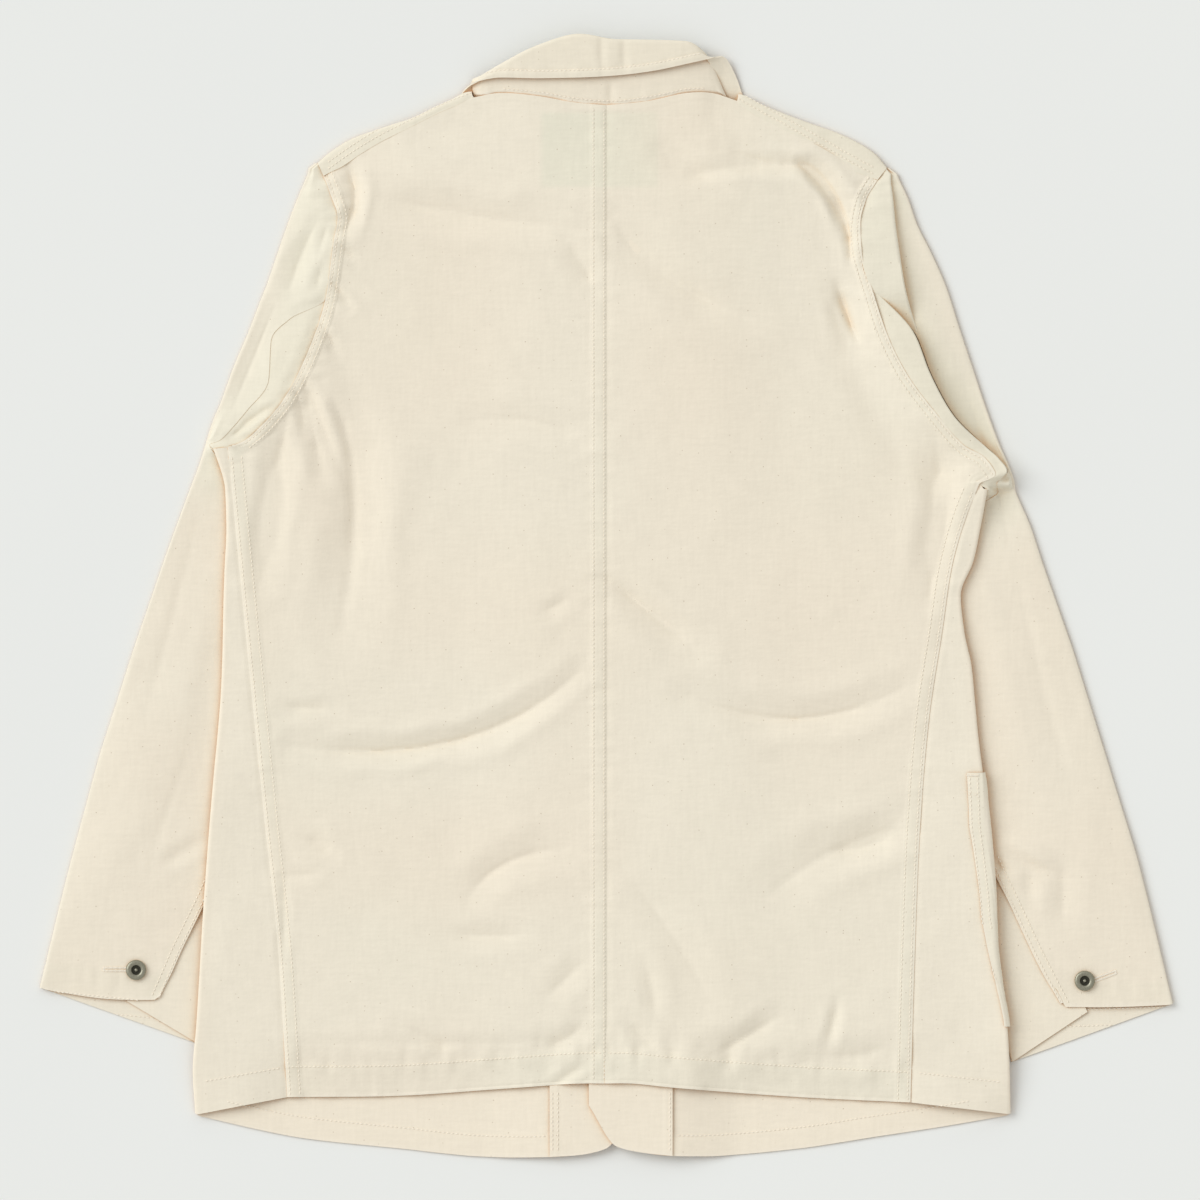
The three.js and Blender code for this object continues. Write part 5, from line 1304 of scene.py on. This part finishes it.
@dataclass
class Pockets:
    """Patch pockets on the outer faces of the fronts; the right one reaches round the side."""

    grids: dict[Side, FrontGrid]
    rows: tuple[int, int] = (2, 8)
    columns: tuple[int, int] = (0, 9)
    away: float = CLOTH + SEAM_GAP + 0.1

    def start(self, grid: FrontGrid, row: float) -> float:
        """Returns the grid column on which the right pocket's back edge falls."""
        level = float(rows_of(grid.side, np.float64(row)))
        into = float(np.interp(level, POCKET_LEVELS, POCKET_INTO))
        if into < grid.radius:
            return ARC * (math.asin(min(1, 1 - into / grid.radius)) / math.pi - 1)
        lines = self.grids[grid.side].lay.lines[grid.side]
        fold, seam = (lines[name].where(1, level)[0] for name in ("fold", "seam"))
        return -ARC - STRIP * (into - grid.radius) / (abs(fold - seam) - grid.radius)

    def build(self, drill: Material) -> None:
        """Makes and dresses both pockets."""
        for side, grid in self.grids.items():
            rows = graded([(self.rows[1] - self.rows[0], 0.08)]) + self.rows[0]
            sheet = smoothed(grid.points, rows)
            spread = graded([(ARC, 0.1), (ARC + 7, 0.25)]) if side is Side.RIGHT else graded([(7, 0.5)]) + 2
            points = []
            for row, line in zip(rows, sheet):
                start = self.start(grid, row) if side is Side.RIGHT else 0.0
                bend = np.clip(spread / ARC, 0, 1) if side is Side.RIGHT else 1.0
                columns = lerp(start, 0, bend) + np.maximum(spread - ARC, 0) if side is Side.RIGHT else spread
                points.append(smoothed(line, columns + grid.wrap))
            cloth = np.array(points)
            normal = np.cross(np.gradient(cloth, axis=1), np.gradient(cloth, axis=0))
            normal *= side.outwards / np.maximum(np.linalg.norm(normal, axis=2, keepdims=True), 1e-9)
            cloth = cloth + normal * self.away
            x, y = cloth[..., 0], cloth[..., 1]
            mouth = y[-1].mean() - y
            edge = np.cumsum(np.linalg.norm(np.diff(cloth, axis=1, prepend=cloth[:, :1]), axis=2), axis=1)
            relief = band(edge, 11.5, 0.5, 0.3) + band(mouth, 17, 0.5, 0.25) + pucker(edge, y, 61, 0.25)
            cloth = cloth + normal * np.maximum(relief, -0.2)[..., None]
            doubled = 2 - ease(10, 12, edge) - ease(16, 18, mouth)
            tint = np.stack([0.3 * np.clip(doubled, 0, 1), 0 * x, fading(edge, 1.6)], -1)
            piece = cloth_sheet(f"pocket_cloth_{side.value}", cloth, None, tint, wall=0.9)
            place(piece, drill, f"pocket_{side.value}")


@dataclass
class Collar:
    """Stand and leaf of the collar, which is turned down over the back's neck."""

    stations: int = len(COLLAR) - 1
    tuck: float = 2.6

    def build(self, drill: Material) -> None:
        """Makes and dresses the stand and the leaf."""
        seam = np.array([(*row[0], row[3]) for row in COLLAR], float)
        roll = np.array([(*row[1], (row[3] + row[4]) / 2) for row in COLLAR], float)
        edge = np.array([(*row[2], row[4]) for row in COLLAR], float)
        places = graded([(6, 0.12), (14, 0.05), (self.stations, 0.12)])
        seam, roll, edge = (smoothed(line, places)[:, None] for line in (seam, roll, edge))
        along = np.cumsum(np.linalg.norm(np.diff(edge[:, 0], axis=0, prepend=edge[:1, 0]), axis=1))[:, None]

        across = np.linspace(0, 1, 22)[None, :, None]
        length = np.linalg.norm((roll - seam)[..., :2], axis=2, keepdims=True)
        into = (across * (length - 2.5 + self.tuck) - self.tuck)[..., 0]
        stand = seam + (roll - seam) * (into[..., None] / length)
        stand[..., 2] = seam[..., 2] + 0.2 * across[..., 0] - 1.3 * (1 - ease(-0.8, 1.0, into))
        stand[..., 2] += band(into, 5.5, 0.35, 0.25) + pucker(into, along, 71, 0.3)
        crease = np.hypot((stand[..., 0] - 4) / 3.0, (stand[..., 1] - 373) / 9.0)
        stand[..., 2] -= 1.2 * np.exp(-(crease**2)) * (stand[..., 2] > 8)
        tint = np.stack([0.35 + 0 * into, 0.4 + 0 * into, fading(into, 1.6)], -1)
        piece = cloth_sheet("collar_stand_cloth", stand, None, tint)
        place(piece, drill, "collar_stand")

        low, high = seam[..., 2:] + 0.3, edge[..., 2:]
        inwards = (seam - roll) * np.array([1, 1, 0]) / length
        bends = [(2.3, 0.0), (1.2, 0.04), (0.45, 0.2), (0.05, 0.5), (0.45, 0.8), (1.2, 0.96), (2.3, 1.0)]
        fold = [roll * np.array([1, 1, 0]) + inwards * back for back, _ in bends]
        for point, (_, share) in zip(fold, bends):
            point[..., 2:] = low + (high - low) * share
        steps = graded([(1, 0.035)])[1:]
        top = [mix(fold[-1], edge, step) for step in steps]
        leaf = np.concatenate([*fold, *top], axis=1)
        leaf[:, len(bends):, 2] = high[..., 0]
        x, y = leaf[..., 0], leaf[..., 1]
        from_edge = np.linalg.norm((leaf - edge)[..., :2], axis=2)
        upper = (np.arange(leaf.shape[1]) >= 4)[None, :]
        relief = 0.5 * waves(x, y, 30, 73) + 0.2 * waves(x, y, 12, 74) + 0.5 * fading(from_edge - 3, 2.6)
        relief += pucker(from_edge - 6, along, 75, 0.25, 6) - 0.3 * fading(from_edge - 6, 0.9)
        for dent in (-2.5, 14.0):
            relief -= 1.2 * np.exp(-(((x - dent) / 3.0) ** 2) - ((y - 404) / 14) ** 2)
        leaf[..., 2] += relief * upper * np.clip(high[..., 0] / 10, 0.2, 1)
        tint = np.stack([0.45 + 0 * x, 0.3 + 0 * x, 0.4 * np.exp(-((from_edge / 1.5) ** 2))], -1)
        piece = cloth_sheet("collar_leaf_cloth", leaf, None, tint)
        place(piece, drill, "collar_leaf")


@dataclass
class NeckLabel:
    """Bare woven tape sewn inside the back below the collar."""

    lay: Lay
    width: float = 86.0
    length: float = 56.0
    centre: tuple[float, float] = LABEL_CENTRE

    def build(self, tape: Material) -> None:
        """Makes and dresses the label."""
        x, y = np.meshgrid(
            self.centre[0] + self.width * np.linspace(-0.5, 0.5, 30),
            self.centre[1] + self.length * np.linspace(-0.5, 0.5, 20),
        )
        under = [self.lay.back(side, x, y) for side in (Side.LEFT, Side.RIGHT)]
        height = np.where(x < 0, *under) - 2.6
        piece = cloth_sheet("neck_label_tape", np.stack([x, y, height], -1), wall=0.6)
        place(piece, tape, "neck_label", slot="label")


@dataclass
class RingButton:
    """Cast ring button with a sunk middle and a small stud."""

    profile: Sequence[tuple[float, float]] = (
        (6.6, 0), (7.2, 0.35), (7.5, 1.1), (7.45, 1.9), (7.1, 2.6), (6.4, 2.95), (5.2, 3.0), (4.1, 2.8),
        (3.5, 2.3), (3.3, 1.2), (2.2, 1.0), (1.4, 1.1), (1.2, 1.8), (0.8, 2.1), (0.35, 2.2),
    )

    def build(self, name: str, node: str, brass: Material, face_down: bool) -> Piece:
        """Makes and dresses one button where its node is.

        Args:
            name: Name of the piece.
            node: The node that it stands for.
            brass: Its material.
            face_down: Whether its face points at the surface.

        Returns:
            The finished button.
        """
        low, high = (Vector(corner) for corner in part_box(node))
        deselect()
        radius, level = self.profile[0]
        bpy.ops.mesh.primitive_circle_add(vertices=44, radius=radius * MM, fill_type="NGON")
        piece = bpy.context.active_object
        piece.name = name
        bpy.ops.object.mode_set(mode="EDIT")
        bpy.ops.mesh.select_all(action="SELECT")
        for wide, tall in self.profile[1:]:
            bpy.ops.mesh.extrude_region_move(TRANSFORM_OT_translate={"value": (0, 0, (tall - level) * MM)})
            share = wide / radius
            bpy.ops.transform.resize(value=(share, share, 1), center_override=(0, 0, tall * MM))
            radius, level = wide, tall
        bpy.ops.mesh.select_all(action="SELECT")
        bpy.ops.mesh.normals_make_consistent(inside=False)
        if face_down:
            centre = (0, 0, BUTTON_HEIGHT / 2 * MM)
            bpy.ops.transform.rotate(value=math.pi, orient_axis="X", center_override=centre)
        middle = (low + high) / 2
        bpy.ops.transform.translate(value=(middle.x, middle.y, low.z))
        bpy.ops.object.mode_set(mode="OBJECT")
        bpy.ops.object.shade_smooth_by_angle(angle=math.radians(40))
        shade = piece.data.color_attributes.new("tint", "FLOAT_COLOR", "POINT")
        for vertex, value in zip(piece.data.vertices, shade.data):
            away = (vertex.co - middle).to_2d().length / MM
            value.color = (float(1.3 < away < 3.45), 0, 0, 1)
        return place(piece, brass, node, slot="button")


@dataclass
class Sewing:
    """Rows of lock stitches laid on the finished cloth."""

    pitch: float = 3.2
    length: float = 2.4
    width: float = 1.05
    rows: dict[str, list[tuple[np.ndarray, Piece, bool]]] = field(default_factory=dict)

    def row(self, group: str, line: Points, cloth: str, dense: bool = False) -> None:
        """Adds a row of stitches.

        Args:
            group: Name of the piece that the row belongs to.
            line: Plan points of the row.
            cloth: Name of the cloth that it is sewn to.
            dense: Whether they lie close together across the row, as round a buttonhole.
        """
        self.rows.setdefault(group, []).append((np.asarray(line, float), bpy.data.objects[cloth], dense))

    def buttonhole(self, group: str, start: Points, end: Points, cloth: str) -> None:
        """Adds the two sides and the bar of a buttonhole."""
        line = Line([start, end], False).at(np.linspace(0, 1, 5))
        for away in (-1.1, 1.1):
            self.row(group, inset(line, away), cloth, dense=True)
        bar = np.array(start) + np.outer([-1.5, 1.5], inset(line, 1.0)[0] - line[0])
        self.row(group, bar, cloth, dense=True)

    def places(self, line: np.ndarray, cloth: Piece, dense: bool) -> list[tuple[Vector, Vector, Vector]]:
        """Returns the middle, the direction and the normal of each stitch of a row."""
        path = Line(line, smooth=False)
        count = max(1, int(path.lengths[-1] / (self.pitch * (0.28 if dense else 1.0))))
        found = []
        for share in (np.arange(count) + 0.5) / count:
            x, y = path.at(share)
            ahead = path.at(share + 0.5 / count) - path.at(share - 0.5 / count)
            hit, spot, normal, _ = cloth.ray_cast(Vector((x * MM, y * MM, 0.2)), Vector((0, 0, -1)))
            if hit:
                direction = Vector((*unit((0, 0), ahead), 0))
                direction = (direction - normal * direction.dot(normal)).normalized()
                direction = normal.cross(direction) if dense else direction
                found.append((spot, direction, normal))
        return found

    def build(self, thread: Material) -> None:
        """Makes and dresses one piece for each group of rows."""
        deselect()
        bpy.ops.mesh.primitive_ico_sphere_add(subdivisions=1, radius=0.5 * MM)
        pattern = bpy.context.active_object
        shape = [vertex.co * 1.0 for vertex in pattern.data.vertices]
        faces = [tuple(face.vertices) for face in pattern.data.polygons]
        bpy.data.objects.remove(pattern)
        for group, rows in self.rows.items():
            points: list[Vector] = []
            sides: list[tuple[int, ...]] = []
            for line, cloth, dense in rows:
                for spot, direction, normal in self.places(line, cloth, dense):
                    across, first = normal.cross(direction), len(points)
                    points += [
                        spot + direction * p.x * self.length + across * p.y * self.width
                        + normal * (p.z * 1.1 + 0.1 * MM)
                        for p in shape
                    ]
                    sides += [tuple(first + corner for corner in face) for face in faces]
            mesh = bpy.data.meshes.new(group)
            mesh.from_pydata(points, [], sides)
            piece = bpy.data.objects.new(group, mesh)
            bpy.context.scene.collection.objects.link(piece)
            mesh.materials.append(thread)
            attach(piece, "root")
            LOG.info("%s: %d stitches", group, len(sides) // len(faces))


def inset(line: np.ndarray, amount: float) -> np.ndarray:
    """Returns a plan line moved sideways, to the left of its direction."""
    ahead = np.gradient(line, axis=0)
    ahead /= np.maximum(np.linalg.norm(ahead, axis=1, keepdims=True), 1e-9)
    return line + np.stack([-ahead[:, 1], ahead[:, 0]], -1) * amount


def sew(lay: Lay, sleeves: Sleeves) -> Sewing:
    """Lists the rows of stitches that show.

    Args:
        lay: How the jacket lies.
        sleeves: The sleeves.

    Returns:
        The sewing, ready to be made.
    """
    sewing = Sewing()
    for side in Side:
        name, sign, lines = side.value, side.outwards, lay.lines[side]
        back, front = f"back_cloth_{name}", f"front_cloth_{name}"
        seam = lines["seam"].at(np.linspace(0.002, 0.985, 160))
        for away in (2.2, 9.4):
            sewing.row(f"side_stitches_{name}", inset(seam, sign * away), back)
        hole = Line(np.array(BODY_CUTS[side].armhole[2:], float)).at(np.linspace(0, 1, 120))
        for away in (2.2, 6.6):
            sewing.row(f"armhole_stitches_{name}", inset(hole, sign * away), back)
        shoulder = lines["shoulder_seam"].at(np.linspace(0.03, 1, 40))
        for away in (2.2, 7.2):
            sewing.row(f"shoulder_stitches_{name}", shoulder + [0, away], front)
        if side is Side.RIGHT:
            y = np.linspace(-292, -133, 60)
            fold_x = lines["fold"].where(1, y)[..., 0]
            edge = fold_x - np.interp(y, POCKET_LEVELS, POCKET_INTO)
            for away in (3.2, 9.0):
                clear = edge + away < fold_x - 2.4
                sewing.row("pocket_stitches", np.stack([edge + away, y], -1)[clear], "pocket_cloth_right")
            mouth = np.array([(edge[-1] + 1, POCKET_MOUTH - 2), (edge[-1] + 10, POCKET_MOUTH - 2)])
            for drop in (0, 14):
                sewing.row("pocket_stitches", mouth - [0, drop], "pocket_cloth_right", dense=drop == 0)
        hem = lines["back_hem"].at(np.linspace(0.01, 0.99, 80))
        sewing.row(f"hem_stitches_{name}", hem + [0, 24 - 1.6], back)
        inner = lines["front_hem"].at(np.linspace(0.02, 0.97, 120))
        inner = inner[(inner[:, 1] < -388) & (np.abs(inner[:, 0] - BODY_CUTS[side].front_edge) > 63)]
        sewing.row(f"front_hem_stitches_{name}", inner + [0, 15.5], front)
        corners = np.array([BODY_CUTS[side].seam[0], BODY_CUTS[side].fold[0]])
        wrap = Line(corners, False).at(np.linspace(0.08, 0.9, 12))
        sewing.row(f"front_hem_stitches_{name}", wrap + [0, 22.4], front)
        facing_x = BODY_CUTS[side].front_edge + sign * FACING_WIDTH
        for away in (2.0, 6.0)[: 2 if side is Side.LEFT else 1]:
            x = facing_x - sign * away
            sewing.row(f"facing_stitches_{name}", np.array([(x, -366), (x, -410)]), f"facing_cloth_{name}")
        rows = sleeves.rows(side)
        cuff = Line(np.array([rows[0]["seam"], rows[0]["out"]]), False).at(np.linspace(0.03, 0.97, 40))
        for away in (1.9, 14.0):
            sewing.row(f"cuff_stitches_{name}", inset(cuff, -sign * away), f"sleeve_top_cloth_{name}")
        slit = np.array([row["seam"] for row in rows[:4]], float)
        for away in (1.8, 7.0):
            sewing.row(f"cuff_stitches_{name}", inset(slit, -sign * away), f"sleeve_top_cloth_{name}")
    sewing.buttonhole("buttonholes", (-371, -275.5), (-354, -275.5), "sleeve_top_cloth_left")
    sewing.buttonhole("buttonholes", (378, -277.5), (362, -283.5), "sleeve_top_cloth_right")
    level = np.array([(0.0, y) for y in np.linspace(-357, 362, 200)])
    for away in (8.6, 0.6):
        sewing.row("centre_stitches", level - [away, 0], "back_cloth_left")
    roll = Line(np.array([row[2] for row in COLLAR[6:14]], float)).at(np.linspace(0.03, 0.97, 60))
    sewing.row("collar_stitches", roll + [0, 5.4], "collar_leaf_cloth")
    neck = Line(np.array([row[0] for row in COLLAR[7:14]], float)).at(np.linspace(0.0, 1, 60))
    sewing.row("collar_stitches", neck + [0, 2.2], "collar_stand_cloth")
    return sewing


def linear(colour: str) -> tuple[float, float, float, float]:
    """Turns an sRGB hex colour to the linear values that a socket takes."""
    parts = [int(colour[k : k + 2], 16) / 255 for k in (1, 3, 5)]
    return *(part / 12.92 if part <= 0.04045 else ((part + 0.055) / 1.055) ** 2.4 for part in parts), 1.0


def add(tree: Tree, kind: str, inputs: dict | None = None, **settings: object) -> bpy.types.Node:
    """Adds a shader node.

    Args:
        tree: The material's node tree.
        kind: Node type without its ShaderNode prefix.
        inputs: For each input, by name or number, its value or the socket linked to it.
        **settings: The node's own settings.

    Returns:
        The node.
    """
    node = tree.nodes.new(f"ShaderNode{kind}")
    for name, value in settings.items():
        setattr(node, name, value)
    for key, value in (inputs or {}).items():
        if isinstance(value, bpy.types.NodeSocket):
            tree.links.new(value, node.inputs[key])
        else:
            node.inputs[key].default_value = value
    return node


def blended(
    tree: Tree, share: object, under: object, over: object, **settings: object
) -> bpy.types.NodeSocket:
    """Adds a colour mix and returns its result.

    Args:
        tree: The material's node tree.
        share: How much of the second colour, as a value or a socket.
        under: The first colour, as a value or a socket.
        over: The second one.
        **settings: The node's own settings.

    Returns:
        The socket with the mixed colour.
    """
    return add(tree, "Mix", {0: share, 6: under, 7: over}, data_type="RGBA", **settings).outputs[2]


def blank(name: str) -> Material:
    """Returns an empty node material."""
    material = bpy.data.materials.new(name)
    material.use_nodes = True
    material.node_tree.nodes.clear()
    return material


@dataclass(frozen=True)
class CottonDrill:
    """Undyed cotton drill, washed once: matt, with slubs, a faint twill and flecks of seed, and painted warm
    shade in its creases.
    """

    name: str
    plain: str
    doubled: str
    warm: str
    worn: str
    # Warm tan multiplied in as painted shade in creases and between layers
    crease: str = "#EDC496"
    fleck: str = "#8E7350"
    roughness: float = 0.92
    sheen: float = 0.12
    slub: float = 0.035
    relief: float = 0.25

    def material(self) -> Material:
        """Makes the material."""
        material = blank(self.name)
        tree = material.node_tree
        spot = add(tree, "TexCoord").outputs["Object"]
        tint = add(tree, "SeparateColor", {0: add(tree, "Attribute", attribute_name="tint").outputs["Color"]})

        # Slubs: thick places in the yarn, about 3 mm by 18 mm here so that they show, one lot each way
        warp = add(tree, "Mapping", {"Vector": spot, "Scale": (330, 55, 1)})
        weft = add(tree, "Mapping", {"Vector": spot, "Scale": (60, 360, 1)})
        slubs = [
            add(tree, "TexNoise", {"Vector": way.outputs[0], "Scale": 1.0, "Detail": 2.0, "Roughness": 0.6})
            for way in (warp, weft)
        ]
        both = add(tree, "Math", {0: slubs[0].outputs[0], 1: slubs[1].outputs[0]}, operation="ADD")

        # The twill's diagonal lines are 0.5 mm apart; they are drawn 3.7 mm apart, so that they show
        turned = add(tree, "Mapping", {"Vector": spot, "Rotation": (0, 0, math.radians(58))})
        twill = add(tree, "TexWave", {
            "Vector": turned.outputs[0], "Scale": 84.0, "Distortion": 1.2, "Detail": 2.0, "Detail Scale": 3.0,
        })
        grain = add(tree, "TexNoise", {"Vector": spot, "Scale": 520.0, "Detail": 3.0, "Roughness": 0.7})

        colour = blended(tree, tint.outputs[0], linear(self.plain), linear(self.doubled))
        colour = blended(tree, tint.outputs[1], colour, linear(self.warm))
        rubbed = add(tree, "Math", {0: tint.outputs[2], 1: grain.outputs[0]}, operation="MULTIPLY")
        colour = blended(tree, rubbed.outputs[0], colour, linear(self.worn))
        shade = add(tree, "MapRange", {
            "Value": both.outputs[0], "From Min": 0.6, "From Max": 1.4,
            "To Min": 1 - self.slub, "To Max": 1 + self.slub,
        })
        colour = blended(tree, 1.0, colour, shade.outputs[0], blend_type="MULTIPLY")

        # Flecks of cotton seed 0.5 to 1 mm wide, one in every few square centimetres
        cells = add(tree, "TexVoronoi", {"Vector": spot, "Scale": 85.0}, voronoi_dimensions="2D")
        core = add(tree, "MapRange", {
            "Value": cells.outputs["Distance"], "From Min": 0.02, "From Max": 0.05,
            "To Min": 1.0, "To Max": 0.0,
        })
        some = add(tree, "MapRange", {
            "Value": add(tree, "SeparateColor", {0: cells.outputs["Color"]}).outputs[0],
            "From Min": 0.6, "From Max": 1.0, "To Min": 0.0, "To Max": 0.45,
        })
        fleck = add(tree, "Math", {0: core.outputs[0], 1: some.outputs[0]}, operation="MULTIPLY")
        colour = blended(tree, fleck.outputs[0], colour, linear(self.fleck))

        # Painted shade: where the ambient occlusion node finds a crease or a gap between two layers, the
        # colour is multiplied by a warm tan that stands in for the shade and the light bounced there
        open_sky = add(tree, "AmbientOcclusion", {"Distance": 0.010}, samples=6)
        closed = add(tree, "MapRange", {
            "Value": open_sky.outputs["AO"], "From Min": 0.12, "From Max": 0.78,
            "To Min": 1.0, "To Max": 0.0,
        })
        creased = blended(tree, 1.0, colour, linear(self.crease), blend_type="MULTIPLY")
        colour = blended(tree, closed.outputs[0], colour, creased)

        parts = {0: both.outputs[0], 1: 0.5, 2: grain.outputs[0]}
        height = add(tree, "Math", parts, operation="MULTIPLY_ADD")
        parts = {0: twill.outputs["Fac"], 1: 0.15, 2: height.outputs[0]}
        height = add(tree, "Math", parts, operation="MULTIPLY_ADD")
        bump = add(tree, "Bump", {"Height": height.outputs[0], "Strength": self.relief, "Distance": 0.0005})
        shader = add(tree, "BsdfPrincipled", {
            "Base Color": colour, "Roughness": self.roughness, "IOR": 1.5,
            "Specular IOR Level": 0.2, "Sheen Weight": self.sheen, "Sheen Roughness": 0.6,
            "Normal": bump.outputs[0],
        })
        add(tree, "OutputMaterial", {0: shader.outputs[0]})
        return material


@dataclass(frozen=True)
class SpunThread:
    """Spun cotton thread, a little whiter and smoother than the cloth."""

    name: str = "spun_cotton_thread"
    colour: str = "#F8F1E2"
    roughness: float = 0.75

    def material(self) -> Material:
        """Makes the material."""
        material = blank(self.name)
        tree = material.node_tree
        spot = add(tree, "TexCoord").outputs["Object"]
        # Twist of the plies, 0.4 mm apart in life, drawn at 1 mm
        ply = add(tree, "TexNoise", {"Vector": spot, "Scale": 900.0, "Detail": 1.0})
        shade = add(tree, "MapRange", {"Value": ply.outputs[0], "To Min": 0.9, "To Max": 1.06})
        colour = blended(tree, 1.0, linear(self.colour), shade.outputs[0], blend_type="MULTIPLY")
        bump = add(tree, "Bump", {"Height": ply.outputs[0], "Strength": 0.3, "Distance": 0.0002})
        shader = add(tree, "BsdfPrincipled", {
            "Base Color": colour, "Roughness": self.roughness, "Sheen Weight": 0.1,
            "Normal": bump.outputs[0],
        })
        add(tree, "OutputMaterial", {0: shader.outputs[0]})
        return material


@dataclass(frozen=True)
class WovenTape:
    """Plain woven cotton tape: fine ribs across and a slight gloss."""

    name: str = "plain_woven_tape"
    colour: str = "#DDE0CE"
    roughness: float = 0.7

    def material(self) -> Material:
        """Makes the material."""
        material = blank(self.name)
        tree = material.node_tree
        spot = add(tree, "TexCoord").outputs["Object"]
        # Ribs 2 mm apart
        wave = {"Vector": spot, "Scale": 157.0, "Distortion": 0.4}
        ribs = add(tree, "TexWave", wave, bands_direction="Y")
        wear = add(tree, "TexNoise", {"Vector": spot, "Scale": 60.0, "Detail": 3.0})
        shade = add(tree, "MapRange", {"Value": wear.outputs[0], "To Min": 0.93, "To Max": 1.05})
        colour = blended(tree, 1.0, linear(self.colour), shade.outputs[0], blend_type="MULTIPLY")
        bump = add(tree, "Bump", {"Height": ribs.outputs["Fac"], "Strength": 0.4, "Distance": 0.0002})
        shader = add(tree, "BsdfPrincipled", {
            "Base Color": colour, "Roughness": self.roughness, "Normal": bump.outputs[0],
        })
        add(tree, "OutputMaterial", {0: shader.outputs[0]})
        return material


@dataclass(frozen=True)
class DulledBrass:
    """Cast brass, coloured dark grey-green in its sunk middle and hollows and lighter on its raised rim."""

    name: str = "dulled_cast_brass"
    hollow: str = "#3B3A31"
    rim: str = "#9B9988"
    roughness: float = 0.42

    def material(self) -> Material:
        """Makes the material."""
        material = blank(self.name)
        tree = material.node_tree
        spot = add(tree, "TexCoord").outputs["Object"]
        # Cast grit of about 0.6 mm
        grit = add(tree, "TexNoise", {"Vector": spot, "Scale": 1600.0, "Detail": 3.0, "Roughness": 0.65})
        point = add(tree, "NewGeometry").outputs["Pointiness"]
        raised = add(tree, "MapRange", {"Value": point, "From Min": 0.44, "From Max": 0.56})
        sunk = add(tree, "SeparateColor", {0: add(tree, "Attribute", attribute_name="tint").outputs["Color"]})
        share = add(tree, "Math", {0: raised.outputs[0], 1: grit.outputs[0]}, operation="MULTIPLY")
        share = add(tree, "MapRange", {"Value": share.outputs[0], "From Min": 0.08, "From Max": 0.36})
        parts = {0: share.outputs[0], 1: sunk.outputs[0]}
        share = add(tree, "Math", parts, operation="SUBTRACT", use_clamp=True)
        # Dark grey-green in the sunk middle and where pointiness is low, lighter where pointiness and grit
        # are high
        colour = blended(tree, share.outputs[0], linear(self.hollow), linear(self.rim))
        bump = add(tree, "Bump", {"Height": grit.outputs[0], "Strength": 0.4, "Distance": 0.0002})
        shader = add(tree, "BsdfPrincipled", {
            "Base Color": colour, "Metallic": 0.85, "Roughness": self.roughness,
            "Normal": bump.outputs[0],
        })
        add(tree, "OutputMaterial", {0: shader.outputs[0]})
        return material


@dataclass
class Studio:
    """Pale floor, soft light from the upper left and a camera straight above."""

    wide: float = 0.888
    centre: tuple[float, float] = (-0.0037, -0.0022)
    floor_colour: str = "#EEF0EE"
    key: float = 1.5
    fill: float = 0.655

    def build(self) -> None:
        """Makes the floor, the lights and the camera."""
        scene = bpy.context.scene
        deselect()
        bpy.ops.mesh.primitive_plane_add(size=7, location=(0, 0, -0.0003))
        floor = bpy.context.active_object
        floor.name = "floor"
        material = blank("matt_card")
        tree = material.node_tree
        spot = add(tree, "TexCoord").outputs["Object"]
        mottle = add(tree, "TexNoise", {"Vector": spot, "Scale": 2.0, "Detail": 2.0})
        shade = add(tree, "MapRange", {"Value": mottle.outputs[0], "To Min": 0.985, "To Max": 1.015})
        colour = blended(tree, 1.0, linear(self.floor_colour), shade.outputs[0], blend_type="MULTIPLY")
        shader = add(tree, "BsdfPrincipled", {
            "Base Color": colour, "Roughness": 0.95, "Specular IOR Level": 0.1,
        })
        add(tree, "OutputMaterial", {0: shader.outputs[0]})
        floor.data.materials.append(material)

        world = bpy.data.worlds.new("studio")
        world.use_nodes = True
        background = world.node_tree.nodes["Background"]
        background.inputs["Color"].default_value = (1.0, 0.985, 0.96, 1)
        background.inputs["Strength"].default_value = self.fill
        scene.world = world
        bpy.ops.object.light_add(type="SUN", location=(-1.0, 0.55, 0.95))
        light = bpy.context.active_object
        light.name = "wide_window_light"
        light.data.angle = math.radians(40)
        light.data.energy = self.key
        light.data.color = (0.965, 0.985, 1.0)
        light.rotation_euler = (-Vector(light.location)).to_track_quat("-Z", "Y").to_euler()

        bpy.ops.object.camera_add(location=(*self.centre, 2.5), rotation=(0, 0, 0))
        camera = bpy.context.active_object
        camera.data.type = "ORTHO"
        camera.data.ortho_scale = self.wide
        camera.data.clip_end = 20
        scene.camera = camera
        scene.view_settings.view_transform = "Standard"


def main() -> None:
    """Builds the jacket and the studio."""
    logging.basicConfig(level=logging.INFO, format="%(message)s")
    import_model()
    lay = Lay()
    drill = CottonDrill("undyed_cotton_drill", "#F0E8D6", "#E9E5D2", "#F1E4D0", "#F5EDDD").material()
    inner = CottonDrill("inner_cotton_drill", "#F0E8D6", "#E9E4D0", "#F3E9D6", "#F6EDDD").material()
    brass = DulledBrass().material()
    fronts = Fronts(lay)
    fronts.build(inner)
    Pockets(fronts.grids).build(drill)
    BackPanels(lay).build(drill)
    sleeves = Sleeves(lay)
    sleeves.build(drill, inner)
    Collar().build(drill)
    NeckLabel(lay).build(WovenTape().material())
    button = RingButton()
    for side in Side:
        button.build(f"cuff_ring_{side.value}", f"cuff_button_{side.value}", brass, False)
    for count in range(1, 6):
        button.build(f"front_ring_{count}", f"front_button_{count}", brass, True)
    sew(lay, sleeves).build(SpunThread().material())
    Studio().build()


if __name__ == "__main__":
    main()
